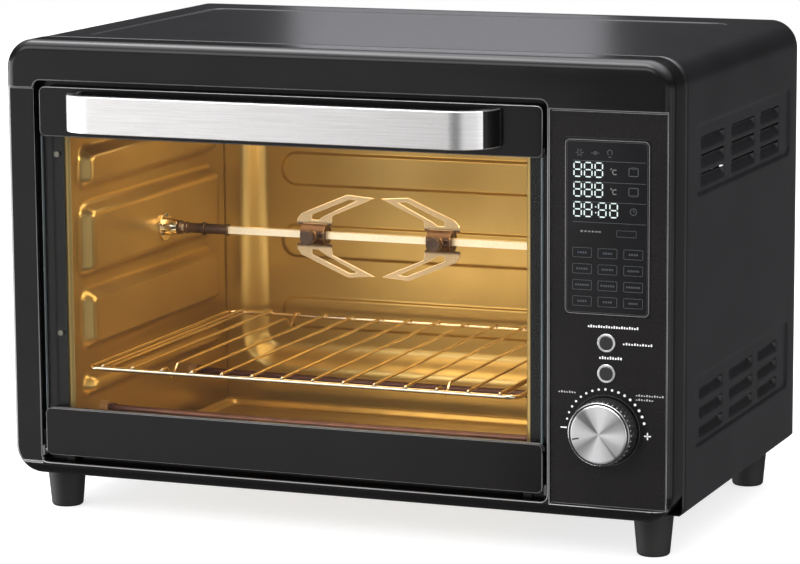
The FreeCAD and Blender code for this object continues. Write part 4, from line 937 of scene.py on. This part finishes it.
def dashes(start, end, z, tall):
    """A row of small blocks in place of a word."""
    made = []
    count = int((end - start) / 2.1)
    for index in range(count):
        x = start + (end - start) * (index + 0.5) / count
        lift = 0.35 * (index * 5 % 3 - 1)
        made += bar(x - 0.6, z + lift / 2, x + 0.6, z + lift / 2, tall + lift)
    return made


def make_panel_marks():
    """White dots and signs round the knob, a faint ring printed round it as a painted glint, and rows of
    small blocks beside the buttons.
    """
    def show(name, shapes, material, back=PANEL_FACE, proud=PRINT):
        raised(name, shapes, back, back - proud, "housing", "panel_black", material)

    marks = []
    for index in range(DOTS):
        share = index / (DOTS - 1)
        spot = on_circle(KNOB_X - 0.3, KNOB_Z, DOT_CIRCLE, 167.5 - 154.3 * share)
        marks += disc(*spot, 0.85 + 0.3 * share, 16)
    marks += bar(197.4, KNOB_Z, 202.6, KNOB_Z, 1.0)
    x, z, reach = 269.6, KNOB_Z - 2.6, 2.9
    marks += bar(x - reach, z, x + reach, z, 1.0) + bar(x, z - reach, x, z + reach, 1.0)
    for word in ((219.6, 262.0, 190.6, 1.7), (229.0, 248.6, 165.8, 1.9), (248.6, 273.6, 177.8, 1.5)):
        marks += dashes(*word)
    faint = []
    for word in ((195.2, 210.5, 136.6, 1.3), (259.4, 283.0, 137.4, 1.2), (259.4, 274.5, 134.0, 1.2)):
        faint += dashes(*word)
    show("panel_small_marks", faint, SOFT_PRINT)
    # a faint ring printed round the knob's base: a painted glint
    show("knob_ring_painted_glint", arc(KNOB_X, KNOB_Z, 28.3, 0.4, steps=72), DIM_PRINT, PANEL_FACE - 0.8, 0.04)
    show("panel_marks", marks, WHITE_PRINT)


# ------ knob

def make_knob():
    """A turned black body with a bright rim ring, polished metal that also paints the rim's highlight, grip
    notches, and a spun metal cap whose fans of light are painted.
    """
    low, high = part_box("knob_body")
    cap_low, cap_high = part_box("knob_cap")
    axis = middle_of("knob_cap")
    base = (high.x - low.x) / 2
    front = base - 0.0012
    length = high.y - low.y

    def turned(name, profile, start, slot, material, replaces, sharp, sides=160):
        shell = lathe(profile, (axis.x, start, axis.z), (0, 1, 0), sides)
        piece(name, joined(name, [shell]), "knob", slot, material, replaces, sharp)

    body = [(0.002, 0.0014), (front - 0.0024, 0.0014), (front - 0.0024, 0.0008), (front - 0.0022, 0.0002),
            (front - 0.001, 0.0002), (front - 0.0009, 0.0012), (front - 0.0002, 0.0014),
            (front, 0.004), (base - 0.0003, length - 0.003), (base, length - 0.0012),
            (base - 0.0002, length - 0.0002), (base - 0.002, length)]
    turned("knob_body_fine", body, low.y, "knob_black", None, ["knob_body"], 38)
    # a bright ring on the body's front rim: polished metal, and also a painted highlight along the rim
    ring = [(front - 0.001, 0.0012), (front - 0.0009, 0.0003), (front - 0.0006, 0.0),
            (front - 0.0002, 0.00015), (front, 0.0006), (front, 0.0016), (front - 0.0006, 0.0018)]
    turned("knob_rim_ring", ring, low.y, "knob_metal", RIM_STEEL_AND_PAINTED_HIGHLIGHT, (), 50)
    radius = (cap_high.x - cap_low.x) / 2
    rings = 46
    cap = []
    for index in range(rings):
        share = index / (rings - 1)
        cap.append((0.0006 + (radius - 0.0014) * share, 0.0004 - 0.0003 * math.sin(math.pi * share / 2)))
    cap += [(radius - 0.0004, 0.00018), (radius, 0.0006), (radius, cap_high.y - cap_low.y)]
    turned("knob_cap_fine", cap, cap_low.y, "knob_metal", None, ["knob_cap"], 20, 128)
    notches = []
    for index in range(NOTCHES):
        a = 2 * math.pi * index / NOTCHES
        verts = [(axis.x + reach * math.cos(a + swing), y, axis.z + reach * math.sin(a + swing))
                 for y in (low.y + 0.003, low.y + 0.0052)
                 for reach in (front - 0.0002, front + 0.00025) for swing in (-0.016, 0.016)]
        notches.append((verts, BOX_FACES))
    piece("knob_notches", joined("knob_notches", notches), "knob", "knob_black", NOTCH_GREY)
    mark = spoke(axis.x / MM, axis.z / MM, 16.5, 22.0, 193, 1.1)
    face = (cap_low.y - FACE) / MM
    raised("knob_mark", mark, face + 0.5, face + 0.02, "knob", "knob_black", MATERIALS["knob_black"])


# ------ remaining CAD nodes

def make_rest():
    for name in ("front_left", "front_right", "rear_left", "rear_right"):
        refined("foot_" + name, "foot_black", 0.0007, 3)
    refined("back_panel", "cover_black", 0.0003)
    for side in ("left", "right"):
        refined("hinge_bracket_" + side, "bright_steel", 0.0004, material=BRACKET_STEEL)


NODE_MATERIALS = [
    (MATERIALS["zinc_steel"], "base_pan encoder_body encoder_shaft rotisserie_motor fan_housing fan_motor "
                              "convection_fan lamp_holder handle_screws"),
    (MATERIALS["board_green"], "control_board power_board"),
    (MATERIALS["knob_black"], "cord_gland encoder_rotor"),
    (MATERIALS["lamp_glass"], "lamp_cover lamp_bulb"),
    (MATERIALS["ceramic"], "heater_insulators"),
    (MATERIALS["cavity_gold"], "fan_guard"),
    (MATERIALS["bright_steel"], "temperature_probe"),
    (SCREW_STEEL, "panel_screws bearing_screws"),
]


def dress_nodes():
    """Gives every CAD node that is carried over its procedural material."""
    for material, names in NODE_MATERIALS:
        for name in names.split():
            NODES[name].data.materials.clear()
            NODES[name].data.materials.append(material)


# ------ studio

def card(name, place, aim, size, radiance, colour=(1, 1, 1)):
    """A rectangular soft light that faces a point, given by how bright its face is."""
    data = bpy.data.lights.new(name, "AREA")
    data.shape = "RECTANGLE"
    data.size, data.size_y = size
    data.energy = math.pi * size[0] * size[1] * radiance
    data.color = colour
    obj = bpy.data.objects.new(name, data)
    obj.location = place
    obj.rotation_mode = "QUATERNION"
    obj.rotation_quaternion = (Vector(aim) - Vector(place)).to_track_quat("-Z", "Y")
    bpy.context.scene.collection.objects.link(obj)


def make_world():
    """White to the eye and for diffuse light; for reflections a dome, dark low down and bright overhead."""
    world = bpy.data.worlds.new("studio")
    bpy.context.scene.world = world
    tree = empty_tree(world)
    where = add_node(tree, "TexCoord").outputs["Generated"]
    height = add_node(tree, "SeparateXYZ", {"Vector": where}).outputs["Z"]
    half = add_node(tree, "Math", {0: height, 1: 0.5, 2: 0.5}, operation="MULTIPLY_ADD")
    stops = [(0.0, 0.014), (0.44, 0.014), (0.52, 0.004), (0.68, 0.006), (0.84, 0.16), (1.0, 1.0)]
    shades = colour_ramp(tree, half.outputs["Value"],
                         [(place, (value * 0.97, value * 0.97, value)) for place, value in stops])
    dome = add_node(tree, "Background", {"Color": shades, "Strength": 9.0})
    white = add_node(tree, "Background", {"Color": (1, 1, 1, 1), "Strength": 1.0})
    glossy = add_node(tree, "LightPath").outputs["Is Glossy Ray"]
    mix = add_node(tree, "MixShader", {0: glossy, 1: white.outputs["Background"],
                                       2: dome.outputs["Background"]})
    add_node(tree, "OutputWorld", {"Surface": mix.outputs["Shader"]})


def make_studio():
    make_world()
    xs, ys = np.linspace(-4, 4, 12), np.linspace(-4, 4, 12)
    floor = bpy.data.objects.new("studio_floor", sheet_mesh(
        "studio_floor", xs, ys, lambda u, v: (u, v, np.zeros(u.shape))))
    floor.data.materials.append(finish("pale_floor", grey(0.56), grey(0.58), (0.55, 0.65),
                                       specular=0.1, patch=2, grain=40, glow=(1, 1, 1), glow_strength=0.7))
    floor.visible_glossy = False
    bpy.context.scene.collection.objects.link(floor)
    card("key_overhead", (-0.5, -0.46, 2.1), (0, -0.05, 0.3), (2.6, 0.55), 8.0)
    card("card_front", (-1.25, -1.93, -0.05), (0, -0.1, 0.22), (1.8, 1.3), 0.93, (1, 0.985, 0.975))
    card("card_left", (-1.62, -0.47, 0.02), (0, -0.1, 0.22), (1.75, 0.9), 4.6)
    card("card_right", (1.25, -1.2, 0.02), (0.13, -0.2, 0.3), (1.85, 1.1), 0.95)
    card("card_side", (1.7, -0.12, 0.05), (0.2, -0.15, 0.22), (1.3, 1.0), 0.9)
    card("card_brow", (-0.95, -2.05, 1.35), (0, -0.16, 0.38), (2.4, 0.9), 4.4)
    card("back_card", (-0.62, 1.75, 0.75), (-0.05, 0, 0.42), (0.43, 0.39), 0.79, (0.94, 0.94, 1.0))
    warm = (1.0, 0.78, 0.46)
    card("cavity_lamp", (0.135, -0.1, 0.318), (-0.1, 0.05, 0.14), (0.05, 0.05), 48, warm)
    card("cavity_glow", (-0.037, -0.02, 0.338), (-0.037, 0.03, 0.05), (0.3, 0.16), 4.9, warm)
    card("cavity_front", (-0.037, -0.138, 0.118), (-0.037, 0.07, 0.03), (0.34, 0.04), 3.9, warm)


def make_camera():
    """The viewpoint: to the right of the front, a little above, with a long lens."""
    yaw, pitch, roll = (math.radians(a) for a in (21.536, -9.487, -0.3465))
    forward = Vector((-math.sin(yaw) * math.cos(pitch), math.cos(yaw) * math.cos(pitch), math.sin(pitch)))
    right = Vector((math.cos(yaw), math.sin(yaw), 0))
    up = right.cross(forward)
    x_axis = right * math.cos(roll) + up * math.sin(roll)
    y_axis = up * math.cos(roll) - right * math.sin(roll)
    data = bpy.data.cameras.new("camera")
    data.lens, data.sensor_width = 161.4, 36.0
    data.clip_start, data.clip_end = 0.05, 60.0
    camera = bpy.data.objects.new("camera", data)
    turn = Matrix((x_axis, y_axis, -forward)).transposed().to_4x4()
    camera.matrix_world = Matrix.Translation((1.1032, -2.8011, 0.6912)) @ turn
    bpy.context.scene.collection.objects.link(camera)
    bpy.context.scene.camera = camera


make_cover()
make_side_wall("cavity_left_wall", 1)
make_side_wall("cavity_right_wall", -1)
make_back_wall()
make_roof_and_floor()
make_heaters()
make_rack()
make_tray()
make_rotisserie()
make_front()
make_sill_corners()
make_door_glass()
make_display()
make_panel_marks()
make_knob()
make_rest()
dress_nodes()
make_studio()
make_camera()
bpy.context.scene.view_settings.view_transform = "Standard"
